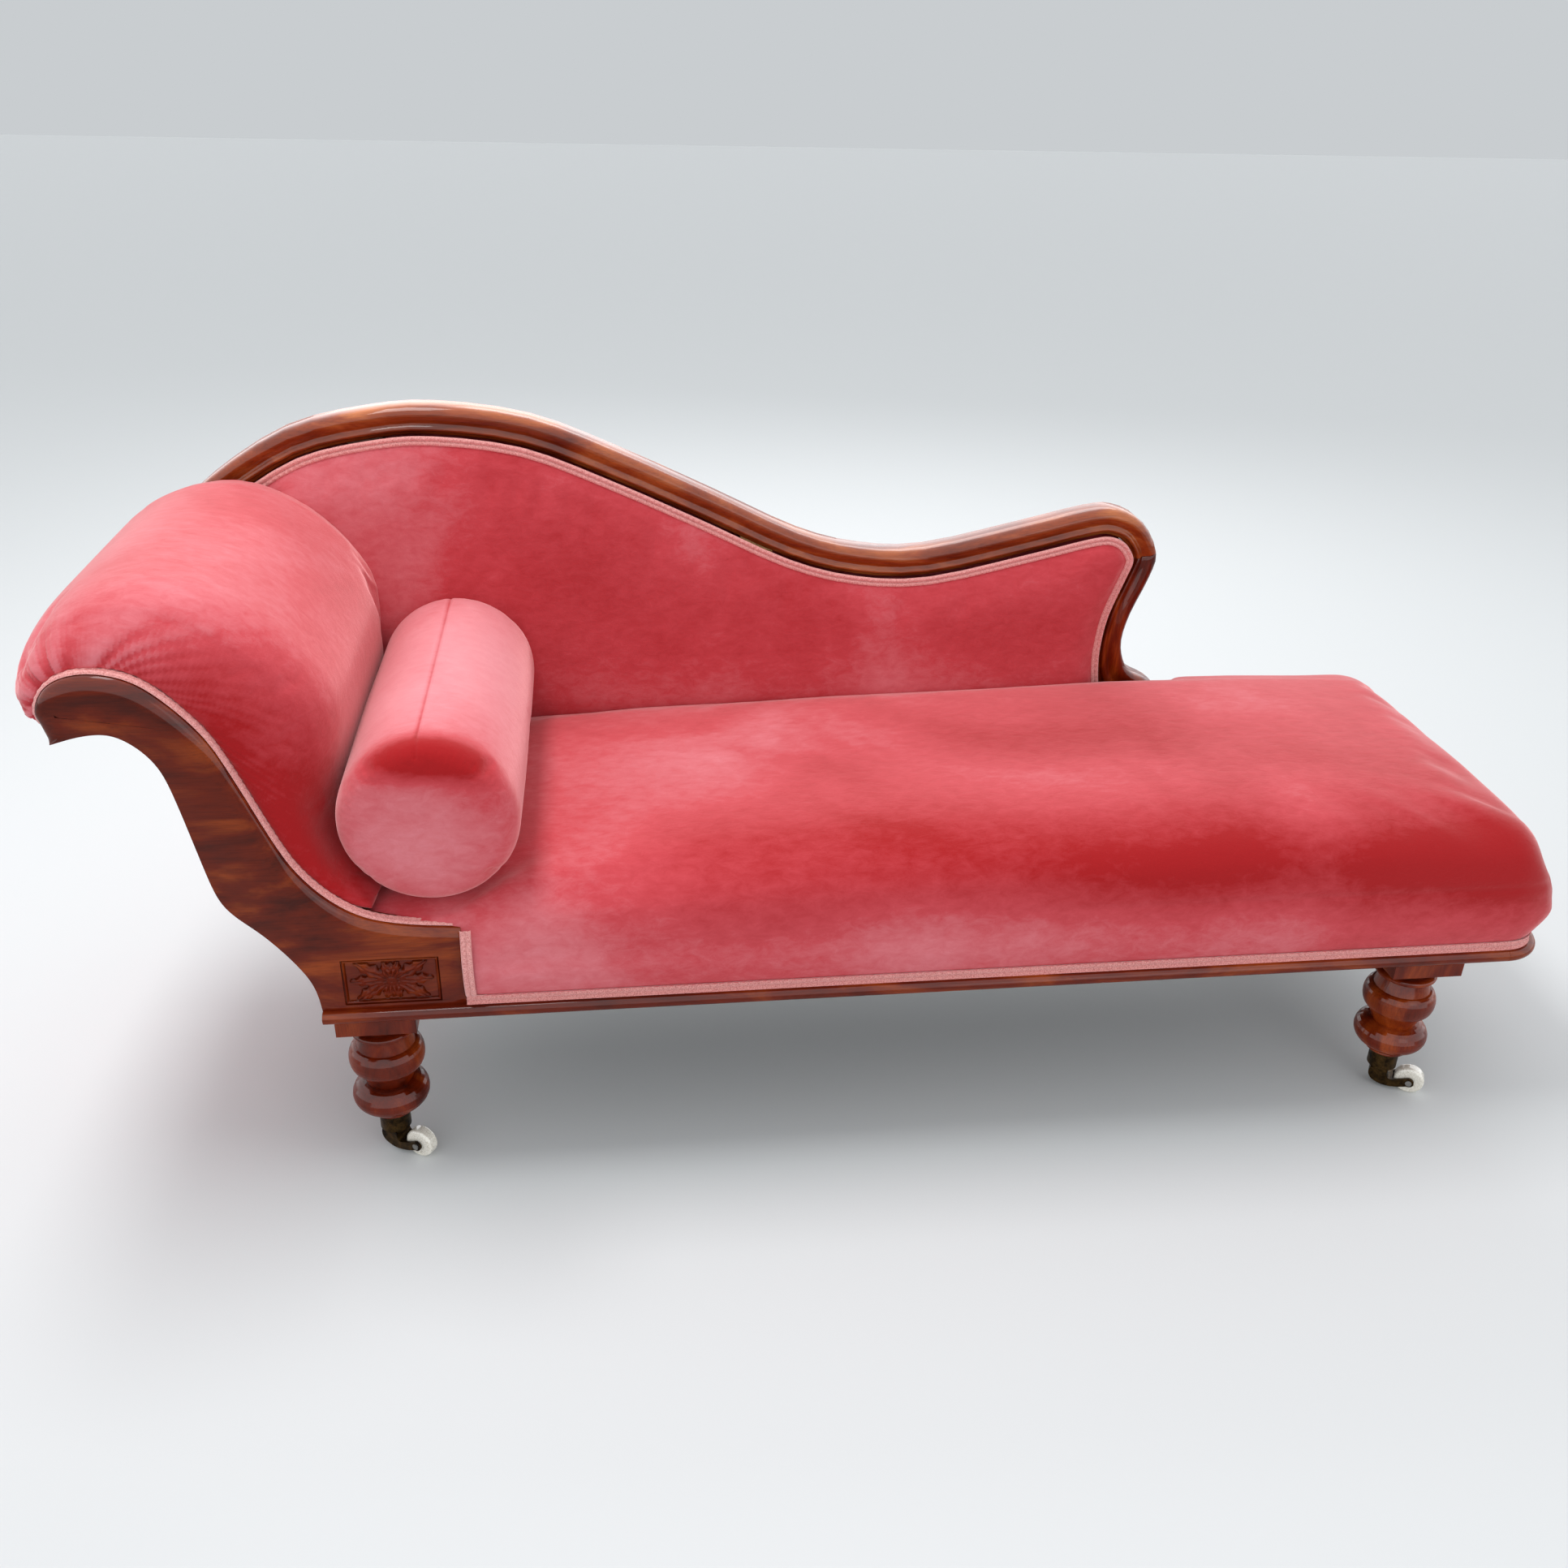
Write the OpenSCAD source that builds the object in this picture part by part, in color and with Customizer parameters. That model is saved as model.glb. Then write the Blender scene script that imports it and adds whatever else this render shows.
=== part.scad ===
// Victorian fainting couch on turned legs with ceramic castors.
// X runs along the seat from the scrolled head (-X) to the foot (+X).
// Y runs from the open front (-Y) to the back (+Y). Z is up and the floor is at zero.

/* [Whole couch] */
// Length from the head roll to the foot of the seat
couch_length = 1802; // [1500:1:2100]
// Depth from the front of the seat to the back of the frame
couch_depth = 576; // [520:1:680]
// Height of the crest of the back
couch_height = 811; // [760:1:900]

/* [Frame] */
// Height of the underside of the seat frame above the floor
frame_height = 229; // [210:1:250]
// Height of the beech seat rails
rail_height = 90; // [80:1:96]
// Thickness of the front, head and foot rails
rail_thickness = 48; // [40:1:52]
// Thickness of the rear rail, which also carries the back
rear_rail_thickness = 74; // [62:1:84]
// Thickness of the cross rail under the bolster
cross_rail_thickness = 36; // [28:1:48]
// Diameter of the dowels in the frame
dowel_d = 10; // [6:0.5:14]
// Length of the dowels in the frame
dowel_l = 70; // [50:1:80]
// Side of the corner blocks
corner_block_side = 70; // [50:1:90]
// Height of the corner blocks
corner_block_height = 45; // [30:1:60]
// Height of the show-wood moulding under the seat
moulding_height = 15; // [10:0.5:20]
// How far the moulding stands out past the upholstery
moulding_overhang = 10; // [6:0.5:14]
// Radius of the corners of the moulding at the foot
moulding_corner_r = 60; // [50:1:75]

/* [Legs] */
// Side of the square block at the top of a leg
leg_block_side = 92; // [84:1:96]
// Height of the square block at the top of a leg
leg_block_height = 27; // [20:1:36]
// Diameter of the two turned rings of a leg
leg_ring_d = 92; // [80:1:96]
// Diameter of the neck at the foot of a leg
leg_neck_d = 31; // [26:1:33]
// Diameter of the spigot that holds a leg in its rail
leg_spigot_d = 26; // [20:1:32]
// Length of the spigot that holds a leg in its rail
leg_spigot_l = 50; // [35:1:60]
// Distance from the head end of the moulding to the first leg's axis
head_leg_inset = 55; // [50:1:70]
// Distance from the foot end of the moulding to the last leg's axis
foot_leg_inset = 154; // [120:1:220]

/* [Castors] */
// Diameter of a ceramic wheel
wheel_d = 38; // [34:0.5:42]
// Width of a ceramic wheel
wheel_w = 16; // [12:0.5:20]
// Distance from the swivel axis to the wheel's axle
castor_trail = 38; // [36:0.5:42]
// Direction in which the castors trail, turned from +X
castor_angle = -32; // [-180:1:180]
// Diameter of the axle of a wheel
axle_d = 5; // [4:0.5:7]
// Diameter of the swivel pin of a castor
pintle_d = 8; // [6:0.5:10]
// Thickness of the brass of a castor
brass_t = 3; // [2:0.5:4]
// Height of the cup round the foot of a leg
cup_height = 24; // [18:1:28]

/* [Head end] */
// Thickness of the carved scroll at the front
scroll_thickness = 28; // [24:1:34]
// Length of the scroll from its tip to its upright edge
scroll_run = 399; // [370:1:430]
// Height of the scroll above the moulding, as a share of the height of the couch
scroll_rise_share = 0.5142; // [0.48:0.0001:0.54]
// Thickness of the stuffing round the tip of the head roll
head_roll_out = 42; // [30:1:50]
// Thickness of the stuffing on the slope of the head
head_stuffing = 98; // [85:1:104]
// Width of the carved tablet
tablet_w = 108; // [90:1:112]
// Height of the carved tablet
tablet_h = 60; // [50:1:64]
// Depth of the carved tablet from its back to the tips of the leaves
tablet_t = 7; // [4:0.5:10]

/* [Back] */
// Length of the back from the head to the outside of the ear
back_run = 1376; // [1300:1:1420]
// Width of the moulded rail round the back, seen from the front
back_rail_w = 37; // [30:0.5:40]
// Thickness of the moulded rail round the back
back_rail_t = 45; // [40:1:50]
// How far the stuffed back stands in front of the moulded rail
back_crown = 15; // [8:0.5:18]
// Width of the upright posts in the back
post_w = 45; // [35:1:55]

/* [Seat] */
// Height of the crown of the seat above the floor
seat_height = 418; // [405:1:430]
// Stuffing in front of the seat rails
stuffing_front = 28; // [24:1:32]
// How far the stuffing at the foot swells past the moulding
foot_swell = 14; // [6:1:20]
// Height of the springs
spring_height = 121; // [108:1:124]
// Outer diameter of a spring at its ends
spring_d = 90; // [60:1:92]
// Thickness of the wire of a spring
spring_wire = 3; // [2:0.5:4]
// Rows of springs across the seat
spring_rows = 3; // [2:1:3]
// Springs along each row
spring_count = 8; // [5:1:9]
// Width of the jute webs
web_w = 50; // [40:1:55]
// Thickness of the jute webs
web_t = 2.5; // [1.5:0.5:4]
// Thickness of the hessian and of the lining cloths
cloth_t = 2; // [1:0.5:3]
// Width of the gimp braid
gimp_w = 12; // [8:0.5:13]
// Thickness of the gimp braid
gimp_t = 2.5; // [1.5:0.5:4]

/* [Bolster] */
// Diameter of the loose bolster
bolster_d = 200; // [170:1:206]
// Radius of the shoulder between the side and the end of the bolster
bolster_shoulder_r = 30; // [15:1:45]
// Distance from the upright edge of the scroll back to the bolster's axis
bolster_inset = 27; // [15:1:35]
// Height of the bolster's axis above the floor
bolster_axis_z = 466; // [464:1:480]
// How far the end of the bolster stays behind the front of the seat
bolster_setback = 26; // [15:1:60]

/* [Hidden] */
$fn = 48;
fine_fn = 96;
nest_steps = 36;

// Gap between pieces that touch softly, clearance of a turning or pushed pin, and overrun of cuts
fit_gap = 0.3;
pin_gap = 0.1;
cut_over = 5;

// Datum lines of the seat frame
front_y = -couch_depth / 2;
back_y = couch_depth / 2;
frame_top = frame_height + rail_height;
moulding_top = frame_height + moulding_height;
pad_front_y = front_y + moulding_overhang;
pad_back_y = back_y - moulding_overhang;
moulding_foot_x = couch_length / 2 - foot_swell;
pad_foot_x = moulding_foot_x - moulding_overhang;
pad_corner_r = moulding_corner_r - moulding_overhang;
rail_front_y = pad_front_y + stuffing_front;
rail_inner_y = rail_front_y + rail_thickness;
rear_rail_inner_y = back_y - rear_rail_thickness;
rail_foot_x = pad_foot_x - stuffing_front;
foot_rail_inner_x = rail_foot_x - rail_thickness;

// Datum lines of the head, worked out from the tip of the scroll
scroll_tip_x = head_roll_out - couch_length / 2;
scroll_edge_x = scroll_tip_x + scroll_run;
moulding_head_share = 0.595;
moulding_head_x = scroll_tip_x + moulding_head_share * scroll_run;
head_setback = 4;
rail_head_x = moulding_head_x + head_setback;
head_rail_inner_x = rail_head_x + rail_thickness;
cross_rail_x = scroll_edge_x + cross_rail_thickness / 2;
cross_rail_inner_x = cross_rail_x + cross_rail_thickness;

// Outline of the scroll: shares of its run and of its rise, from the tip round the upper edge
scroll_upper_shares = [
  [0.008, 0.880], [0, 0.910], [0.030, 0.964], [0.085, 0.994], [0.160, 1], [0.245, 0.976],
  [0.320, 0.916], [0.395, 0.825], [0.4475, 0.715], [0.5225, 0.528], [0.5725, 0.429],
  [0.645, 0.343], [0.7375, 0.281], [0.8575, 0.252], [1, 0.240]
];
// The lower edge, from the moulding back up to the tip
scroll_lower_shares = [
  [moulding_head_share, 0], [0.575, 0.105], [0.480, 0.240], [0.390, 0.329], [0.355, 0.410],
  [0.325, 0.566], [0.285, 0.748], [0.2025, 0.839], [0.120, 0.851], [0.022, 0.827]
];
curve_steps = 3;

// Outline of the back: shares of its run and of its rise above the seat frame, from the head
back_rise = couch_height - frame_height;
scroll_rise = scroll_rise_share * couch_height;
back_foot_share = rail_height / back_rise;
back_outer_shares = [
  [0, 0.658], [0.012, 0.744], [0.055, 0.844], [0.128, 0.948], [0.204, 0.991], [0.268, 1],
  [0.356, 0.971], [0.440, 0.893], [0.535, 0.789], [0.619, 0.694], [0.683, 0.653], [0.752, 0.648],
  [0.853, 0.699], [0.921, 0.737], [0.952, 0.740], [0.981, 0.706], [1, 0.631],
  [0.996, 0.567], [0.981, 0.474], [0.975, 0.402], [0.980, 0.344], [0.991, 0.309],
  [1.014, 0.280], [1.028, 0.242], [1.033, back_foot_share]
];
// The inside of the end post below the ear, whose foot widens onto the rear rail
post_inner_shares = [
  [0.967, 0.569], [0.9535, 0.474], [0.949, 0.397], [0.949, 0.345], [0.951, 0.302],
  [0.953, 0.268], [0.9535, 0.225], [0.9535, back_foot_share]
];
ear_index = 16;
back_start_out = 8;
back_start_x = scroll_tip_x - back_start_out;

// Section of the moulded rail: shares of its width and of its thickness, from the outer edge
rail_section_shares = [
  [0, 1], [0, 0.28], [0.06, 0.12], [0.18, 0.02], [0.34, 0], [0.48, 0.07], [0.60, 0.14],
  [0.68, 0.09], [0.76, 0.02], [0.84, 0.05], [0.88, 0.16], [1, 0.20], [1, 1]
];

// Places through the depth of the back
back_front_y = back_y - back_rail_t;
back_rebate = 9.5;
post_front_y = back_front_y + back_rebate;
back_pad_y = back_front_y - back_crown;
back_cloth_setback = 2;
back_cloth_y = back_y - back_cloth_setback - cloth_t;
post_depth = back_cloth_y - post_front_y;
back_scroll_thickness = back_front_y - rear_rail_inner_y;

// Places along the back
head_post_share = 0.62;
head_post_x = scroll_tip_x + head_post_share * scroll_run;
muntin_share = 0.56;
muntin_x = back_start_x + muntin_share * back_run;
post_foot_x = back_start_x + back_outer_shares[len(back_outer_shares) - 1][0] * back_run;
bottom_rail_h = 40;
bottom_rail_z = frame_top + rail_height / 4;
back_panel_start = 6;
back_panel_z = bottom_rail_z + bottom_rail_h / 4;
// Heights of the two long webs in the back, as shares of the room for them at the dip of the rail
back_web_shares = [0.5, 0.9];

// Stuffing of the head: shares of the greatest thickness at each point of the scroll's edge
tip_share = head_roll_out / head_stuffing;
head_pad_shares = [
  0.30, tip_share, tip_share, 0.50, 0.63, 0.80, 0.93, 1, 1, 0.64, 0.50, 0.33, 0.20
];
head_pad_index = len(head_pad_shares) - 1;
// How the stuffing swells behind the scroll: share of the shoulder and share of its thickness
head_shoulder = 95;
head_shoulder_shares = [
  [0, 0.14], [0.03, 0.32], [0.10, 0.50], [0.24, 0.68], [0.45, 0.85], [0.72, 0.96], [1, 1]
];
// The wood of the scroll that shows in front of the gimp
show_edge = 10;
gimp_front_y = pad_front_y + show_edge;
head_pad_front_y = gimp_front_y + gimp_w;
head_pad_back_y = back_pad_y - fit_gap;
scroll_back_y = pad_front_y + scroll_thickness;

// Stuffing of the seat: places along it and shares of its height, from head to foot
seat_head_share = 0.755;
seat_head_x = scroll_tip_x + seat_head_share * scroll_run;
seat_run = pad_foot_x - seat_head_x;
seat_rise = seat_height - moulding_top;
seat_crown_shares = [
  [0, 0.70], [0.0355, 0.725], [0.068, 0.76], [0.119, 0.828], [0.189, 0.862], [0.251, 0.891],
  [0.390, 0.931], [0.530, 0.966], [0.704, 1], [0.843, 0.994], [0.92, 0.971]
];
// Length over which the stuffing steps back beside the end post and beside the foot rail
seat_step = 2;
// How fast the cover is tucked under, over the rails, as a share of its height
tuck_share = 0.6;
tuck_end_shares = [0.3, 0.15];
seat_low = frame_top + cloth_t + fit_gap;
seat_bottom = moulding_top + fit_gap;
seat_lift = 2 * fit_gap;
// How far the top of the stuffing sinks as it turns over the foot, as a share
foot_drop_share = 0.36;
turn_angle = 15;
// Section of the stuffing above the gimp: swell of the border, then the turn onto the top
border_shares = [
  [0.60, 0.20], [0.90, 0.32], [1, 0.44], [0.90, 0.56], [0.55, 0.67], [0, 0.765]
];
top_shares = [
  [0.04, 0.845], [0.095, 0.905], [0.175, 0.945], [0.305, 0.972], [0.50, 0.990], [0.76, 1]
];

// Springs, webs and cloths under the seat
spring_base_z = frame_height;
hessian_z = spring_base_z + spring_height;
hessian_lap = 12;
hessian_slope = 21;
rail_hessian_y = rear_rail_inner_y + hessian_lap;
spring_pitch_x = (foot_rail_inner_x - cross_rail_inner_x) / spring_count;
spring_pitch_y = (rear_rail_inner_y - rail_inner_y) / spring_rows;
spring_xs = [for (i = [0:spring_count - 1]) cross_rail_inner_x + spring_pitch_x * (i + 0.5)];
spring_ys = [for (j = [0:spring_rows - 1]) rail_inner_y + spring_pitch_y * (j + 0.5)];
spring_waist_share = 0.72;
base_cloth_z = frame_height - web_t - fit_gap - cloth_t;
base_cloth_inset = 6;
head_web_count = 4;
back_web_count = 7;

// Legs and castors
leg_xs = [moulding_head_x + head_leg_inset, moulding_foot_x - foot_leg_inset];
leg_ys = [rail_front_y + rail_thickness / 2, back_y - leg_block_side / 2];
wheel_r = wheel_d / 2;
wheel_edge_r = wheel_w / 4;
fork_rise = 14;
cup_z = wheel_r + fork_rise;
horn_z = cup_z - fit_gap;
leg_z = cup_z + brass_t;
swivel_plate_d = 26;
rivet_h = brass_t;
rivet_share = 1.5;
rivet_d = pintle_d * rivet_share;
rivet_room = 1;
fork_gap = 1.5;
fork_w = wheel_w + 2 * fork_gap + 2 * brass_t;
axle_boss_d = 13;
axle_head_h = 1.5;
axle_head_share = 1.6;
axle_head_d = axle_d * axle_head_share;
// Turned part of a leg, from the top of the castor's cup up to the block
neck_h = cup_height - brass_t;
leg_turned_h = frame_height - leg_block_height - leg_z;
ring_r = leg_ring_d / 2;
// Rings of a leg: height of the centre, half height and size, as shares
leg_ring_shares = [[0.043, 0.032, 0.60], [0.215, 0.128, 1], [0.593, 0.120, 0.98], [0.868, 0.037, 0.84]];
// Radius of the hollows below each ring and below the block, as shares
leg_hollow_shares = [0.36, 0.60, 0.76, 0.64, 0.72];
// Outline of a castor's horn: shares of the trail and of the wheel's radius
horn_outer_shares = [[-0.32, 1.55], [-0.35, 1.05], [-0.20, 0.58], [0.16, 0.32], [0.58, 0.40], [0.95, 0.66]];
horn_inner_shares = [[0.95, 1.33], [0.64, 1.06], [0.38, 0.92], [0.27, 1.10], [0.25, 1.55]];

// Dowels: x, y and the axis that they lie along, two at each joint of the rails
dowel_height_shares = [0.28, 0.72];
dowel_places = [
  [rail_head_x + rail_thickness / 2, rail_inner_y, 90],
  [rail_head_x + rail_thickness / 2, rear_rail_inner_y, 90],
  [cross_rail_x + cross_rail_thickness / 2, rail_inner_y, 90],
  [cross_rail_x + cross_rail_thickness / 2, rear_rail_inner_y, 90],
  [rail_foot_x - rail_thickness / 2, rail_inner_y, 90],
  [foot_rail_inner_x, (rear_rail_inner_y - rail_front_y) / 2, 0]
];

// Bolster
bolster_x = scroll_edge_x - bolster_inset;
bolster_front_y = front_y + bolster_setback;
bolster_end_gap = 1.5;
bolster_l = back_pad_y - bolster_end_gap - bolster_front_y;

// Smooth curve through a list of points
function spline(a, b, c, d, t) =
  ((2 * b) + (c - a) * t + (2 * a - 5 * b + 4 * c - d) * t * t + (3 * b - a - 3 * c + d) * t * t * t) / 2;
function curve(p, steps = curve_steps) = [
  for (i = [0:len(p) - 2]) for (k = [0:steps - 1])
    spline(p[max(i - 1, 0)], p[i], p[i + 1], p[min(i + 2, len(p) - 1)], k / steps),
  p[len(p) - 1]
];
function part_of(p, first, last) = [for (i = [first:last]) p[i]];
function backwards(p) = [for (i = [len(p) - 1:-1:0]) p[i]];
// Unit vector to the left of a step
function leftward(v) = [-v[1], v[0]] / norm(v);
function left_of(p, i) = leftward(p[min(i + 1, len(p) - 1)] - p[max(i - 1, 0)]);
// A line beside an open line, a distance to its left
function beside(p, d) = [for (i = [0:len(p) - 1]) p[i] + d * left_of(p, i)];
// A closed outline grown by a distance to its left, with mitred corners
function around(p, d) = let (n = len(p)) [
  for (i = [0:n - 1])
    let (before = leftward(p[i] - p[(i + n - 1) % n]), after = leftward(p[(i + 1) % n] - p[i]))
    p[i] + d * (before + after) / (1 + before * after)
];
// Points of shares placed from a corner with a width and a height
function placed(shares, x, z, w, h) = [for (s = shares) [x + s[0] * w, z + s[1] * h]];

// Lines of the scroll and of the back
scroll_upper = curve(placed(scroll_upper_shares, scroll_tip_x, moulding_top, scroll_run, scroll_rise));
scroll_lower = curve(placed(scroll_lower_shares, scroll_tip_x, moulding_top, scroll_run, scroll_rise));
back_outer = curve(placed(back_outer_shares, back_start_x, frame_height, back_run, back_rise));
back_inner = beside(back_outer, -back_rail_w);
ear_station = ear_index * curve_steps;
post_inner = curve(concat(
  [back_inner[ear_station]],
  placed(post_inner_shares, back_start_x, frame_height, back_run, back_rise)
));
post_outer = part_of(back_outer, ear_station, len(back_outer) - 1);
// The narrowest places beside the end post: along the bottom rail and along the whole panel
bottom_rail_end_x = min([for (p = post_inner) if (p[1] < bottom_rail_z + 2 * bottom_rail_h) p[0]]);
web_end_x = min([for (p = post_inner) p[0]]) - fit_gap;
// Height of the inside of the top rail at a place along the couch
top_rail_low = [for (i = [curve_steps:ear_station - 2 * curve_steps]) back_inner[i]];

// Faces that close a ring: the whole ring, a fan from one of its points to a run of the others,
// two fans that meet in one triangle, or strips across it
function whole(n) = [[for (j = [0:n - 1]) j]];
function fan(n, centre, first, last) = [for (j = [first:last - 1]) [j % n, (j + 1) % n, centre]];
function fans(n, low, middle, high) = concat(
  fan(n, low, low + 1, middle),
  [[low, middle, high]],
  fan(n, high, middle, high - 1),
  fan(n, high, high + 1, n + low)
);
function strips(n) = [
  for (j = [0:n / 2 - 2]) each [[j, j + 1, n - 2 - j], [j, n - 2 - j, n - 1 - j]]
];

// Solid through a row of rings with equal counts of points
module loft(rings, start, end) {
  n = len(rings[0]);
  last = len(rings) - 1;
  sides = [
    for (i = [0:last - 1]) for (j = [0:n - 1])
      let (a = i * n + j, b = i * n + (j + 1) % n, c = b + n, d = a + n)
      each [[a, c, b], [a, d, c]]
  ];
  far_end = [for (f = end) [for (k = backwards(f)) last * n + k]];
  polyhedron(points = [for (r = rings) each r], faces = concat(sides, start, far_end), convexity = 8);
}

// Extrusion along Y of an outline drawn in X and Z
module board(outline, y, thickness) {
  translate([0, y + thickness, 0])
    rotate([90, 0, 0])
      linear_extrude(thickness)
        polygon(outline);
}

// Box between two corners
module box(from, to) {
  translate(from)
    cube(to - from);
}

module dowels(d) {
  for (p = dowel_places)
    for (s = dowel_height_shares)
      translate([p[0], p[1], frame_height + s * rail_height])
        rotate([0, 90, p[2]])
          cylinder(d = d, h = dowel_l, center = true);
}

module spigot_bores() {
  for (x = leg_xs)
    for (y = leg_ys)
      translate([x, y, frame_height - cut_over])
        cylinder(d = leg_spigot_d + 2 * pin_gap, h = leg_spigot_l + cut_over + rivet_room);
}

// Beech rails of the seat frame
module front_rail() {
  color("burlywood")
    difference() {
      box([rail_head_x, rail_front_y, frame_height], [rail_foot_x, rail_inner_y, frame_top]);
      dowels(dowel_d + 2 * pin_gap);
      spigot_bores();
    }
}

module rear_rail() {
  color("burlywood")
    difference() {
      box([rail_head_x, rear_rail_inner_y, frame_height], [foot_rail_inner_x - pin_gap, back_y, frame_top]);
      dowels(dowel_d + 2 * pin_gap);
      spigot_bores();
    }
}

module head_rail() {
  color("burlywood")
    difference() {
      box([rail_head_x, rail_inner_y, frame_height], [head_rail_inner_x, rear_rail_inner_y, frame_top]);
      dowels(dowel_d + 2 * pin_gap);
    }
}

module foot_rail() {
  color("burlywood")
    difference() {
      box([foot_rail_inner_x, rail_inner_y, frame_height], [rail_foot_x, -rail_front_y, frame_top]);
      dowels(dowel_d + 2 * pin_gap);
    }
}

module cross_rail() {
  color("burlywood")
    difference() {
      box([cross_rail_x, rail_inner_y, frame_height], [cross_rail_inner_x, rear_rail_inner_y, frame_top]);
      dowels(dowel_d + 2 * pin_gap);
    }
}

module corner_block(x, y, along, across) {
  translate([x, y, frame_top - corner_block_height - cut_over])
    linear_extrude(corner_block_height)
      polygon([[0, 0], [along, 0], [0, across]]);
}

module corner_blocks() {
  color("tan") {
    corner_block(head_rail_inner_x, rail_inner_y, corner_block_side, corner_block_side);
    corner_block(head_rail_inner_x, rear_rail_inner_y, corner_block_side, -corner_block_side);
    corner_block(foot_rail_inner_x, rail_inner_y, -corner_block_side, corner_block_side);
    corner_block(foot_rail_inner_x, rear_rail_inner_y, -corner_block_side, -corner_block_side);
  }
}

module frame_dowels() {
  color("wheat")
    dowels(dowel_d);
}

// Show-wood moulding under the seat: a rounded nose on a flat strip
module moulding_section(inner_r) {
  nose_r = moulding_height / 2;
  strip_w = moulding_overhang + stuffing_front;
  translate([inner_r, 0])
    square([strip_w - nose_r, moulding_height]);
  translate([inner_r + strip_w - nose_r, nose_r])
    circle(r = nose_r);
}

module moulding_straight(length) {
  rotate([90, 0, 90])
    linear_extrude(length)
      mirror([1, 0])
        moulding_section(0);
}

module moulding_corner() {
  rotate_extrude(angle = 90)
    moulding_section(moulding_corner_r - moulding_overhang - stuffing_front);
}

module seat_moulding_front() {
  color("saddlebrown")
    translate([moulding_head_x, rail_front_y, frame_height])
      moulding_straight(moulding_foot_x - moulding_corner_r - fit_gap - moulding_head_x);
}

module seat_moulding_foot() {
  corner_x = moulding_foot_x - moulding_corner_r;
  corner_y = back_y - moulding_corner_r;
  color("saddlebrown")
    difference() {
      union() {
        translate([corner_x, -corner_y, frame_height])
          rotate([0, 0, -90])
            moulding_corner();
        translate([rail_foot_x, -corner_y, frame_height])
          rotate([0, 0, 90])
            moulding_straight(2 * corner_y);
        translate([corner_x, corner_y, frame_height])
          moulding_corner();
        translate([corner_x, -rail_front_y, frame_height])
          rotate([0, 0, 180])
            moulding_straight(corner_x - foot_rail_inner_x - fit_gap);
      }
      box(
        [foot_rail_inner_x, rail_front_y, frame_height - cut_over],
        [rail_foot_x, -rail_front_y, frame_top]
      );
    }
}

// Turned leg: a half round for each ring, with a hollow between each pair
function half_round(z, half, r, hollow) = [
  for (a = [-90:15:90]) [hollow + (r - hollow) * cos(a), z + half * sin(a)]
];
leg_outline = concat(
  [[0, 0], [leg_neck_d / 2, 0], [leg_neck_d / 2, neck_h]],
  [for (i = [0:len(leg_ring_shares) - 1])
    let (s = leg_ring_shares[i], h = leg_turned_h - neck_h, hollow = leg_hollow_shares[i] * ring_r)
    each half_round(neck_h + s[0] * h, s[1] * h, s[2] * ring_r, max(hollow, leg_neck_d / 2))],
  [[leg_hollow_shares[4] * ring_r, leg_turned_h], [0, leg_turned_h]]
);

module leg(x, y) {
  color("sienna")
    translate([x, y, leg_z])
      difference() {
        union() {
          rotate_extrude()
            polygon(leg_outline);
          translate([-leg_block_side / 2, -leg_block_side / 2, leg_turned_h])
            cube([leg_block_side, leg_block_side, leg_block_height]);
          translate([0, 0, leg_turned_h])
            cylinder(d = leg_spigot_d, h = leg_block_height + leg_spigot_l);
        }
        translate([0, 0, -cut_over])
          cylinder(d = rivet_d + 2 * rivet_room, h = rivet_h + rivet_room + cut_over);
      }
}

module leg_front_head() { leg(leg_xs[0], leg_ys[0]); }
module leg_front_foot() { leg(leg_xs[1], leg_ys[0]); }
module leg_rear_head() { leg(leg_xs[0], leg_ys[1]); }
module leg_rear_foot() { leg(leg_xs[1], leg_ys[1]); }

// Brass cup that sheathes the foot of a leg
module castor_cup(x, y) {
  inner_r = leg_neck_d / 2 + pin_gap;
  color("darkgoldenrod")
    translate([x, y, cup_z])
      difference() {
        cylinder(r = inner_r + brass_t, h = cup_height);
        translate([0, 0, brass_t])
          cylinder(r = inner_r, h = cup_height);
        translate([0, 0, -cut_over])
          cylinder(d = pintle_d + 2 * pin_gap, h = brass_t + 2 * cut_over);
      }
}

// Swivelling brass horn: plate, riveted pin and two arms down to the axle
module castor_horn(x, y) {
  outline = concat(
    curve(placed(horn_outer_shares, 0, 0, castor_trail, wheel_r)),
    curve(placed(horn_inner_shares, 0, 0, castor_trail, wheel_r))
  );
  color("darkgoldenrod")
    translate([x, y, 0])
      rotate([0, 0, castor_angle])
        difference() {
          union() {
            board(outline, -fork_w / 2, fork_w);
            translate([0, 0, horn_z - brass_t - brass_t])
              cylinder(d = swivel_plate_d, h = 2 * brass_t);
            translate([0, 0, horn_z - brass_t])
              cylinder(d = pintle_d, h = leg_z + fit_gap + rivet_h - horn_z + brass_t);
            translate([0, 0, leg_z + fit_gap])
              cylinder(d = rivet_d, h = rivet_h);
            translate([castor_trail, 0, wheel_r])
              rotate([90, 0, 0])
                cylinder(d = axle_boss_d, h = fork_w, center = true);
          }
          translate([castor_trail, 0, wheel_r])
            rotate([90, 0, 0])
              cylinder(r = wheel_r + fork_gap, h = wheel_w + 2 * fork_gap, center = true);
          translate([castor_trail, 0, wheel_r])
            rotate([90, 0, 0])
              cylinder(d = axle_d + 2 * pin_gap, h = fork_w + 2 * cut_over, center = true);
        }
}

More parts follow.
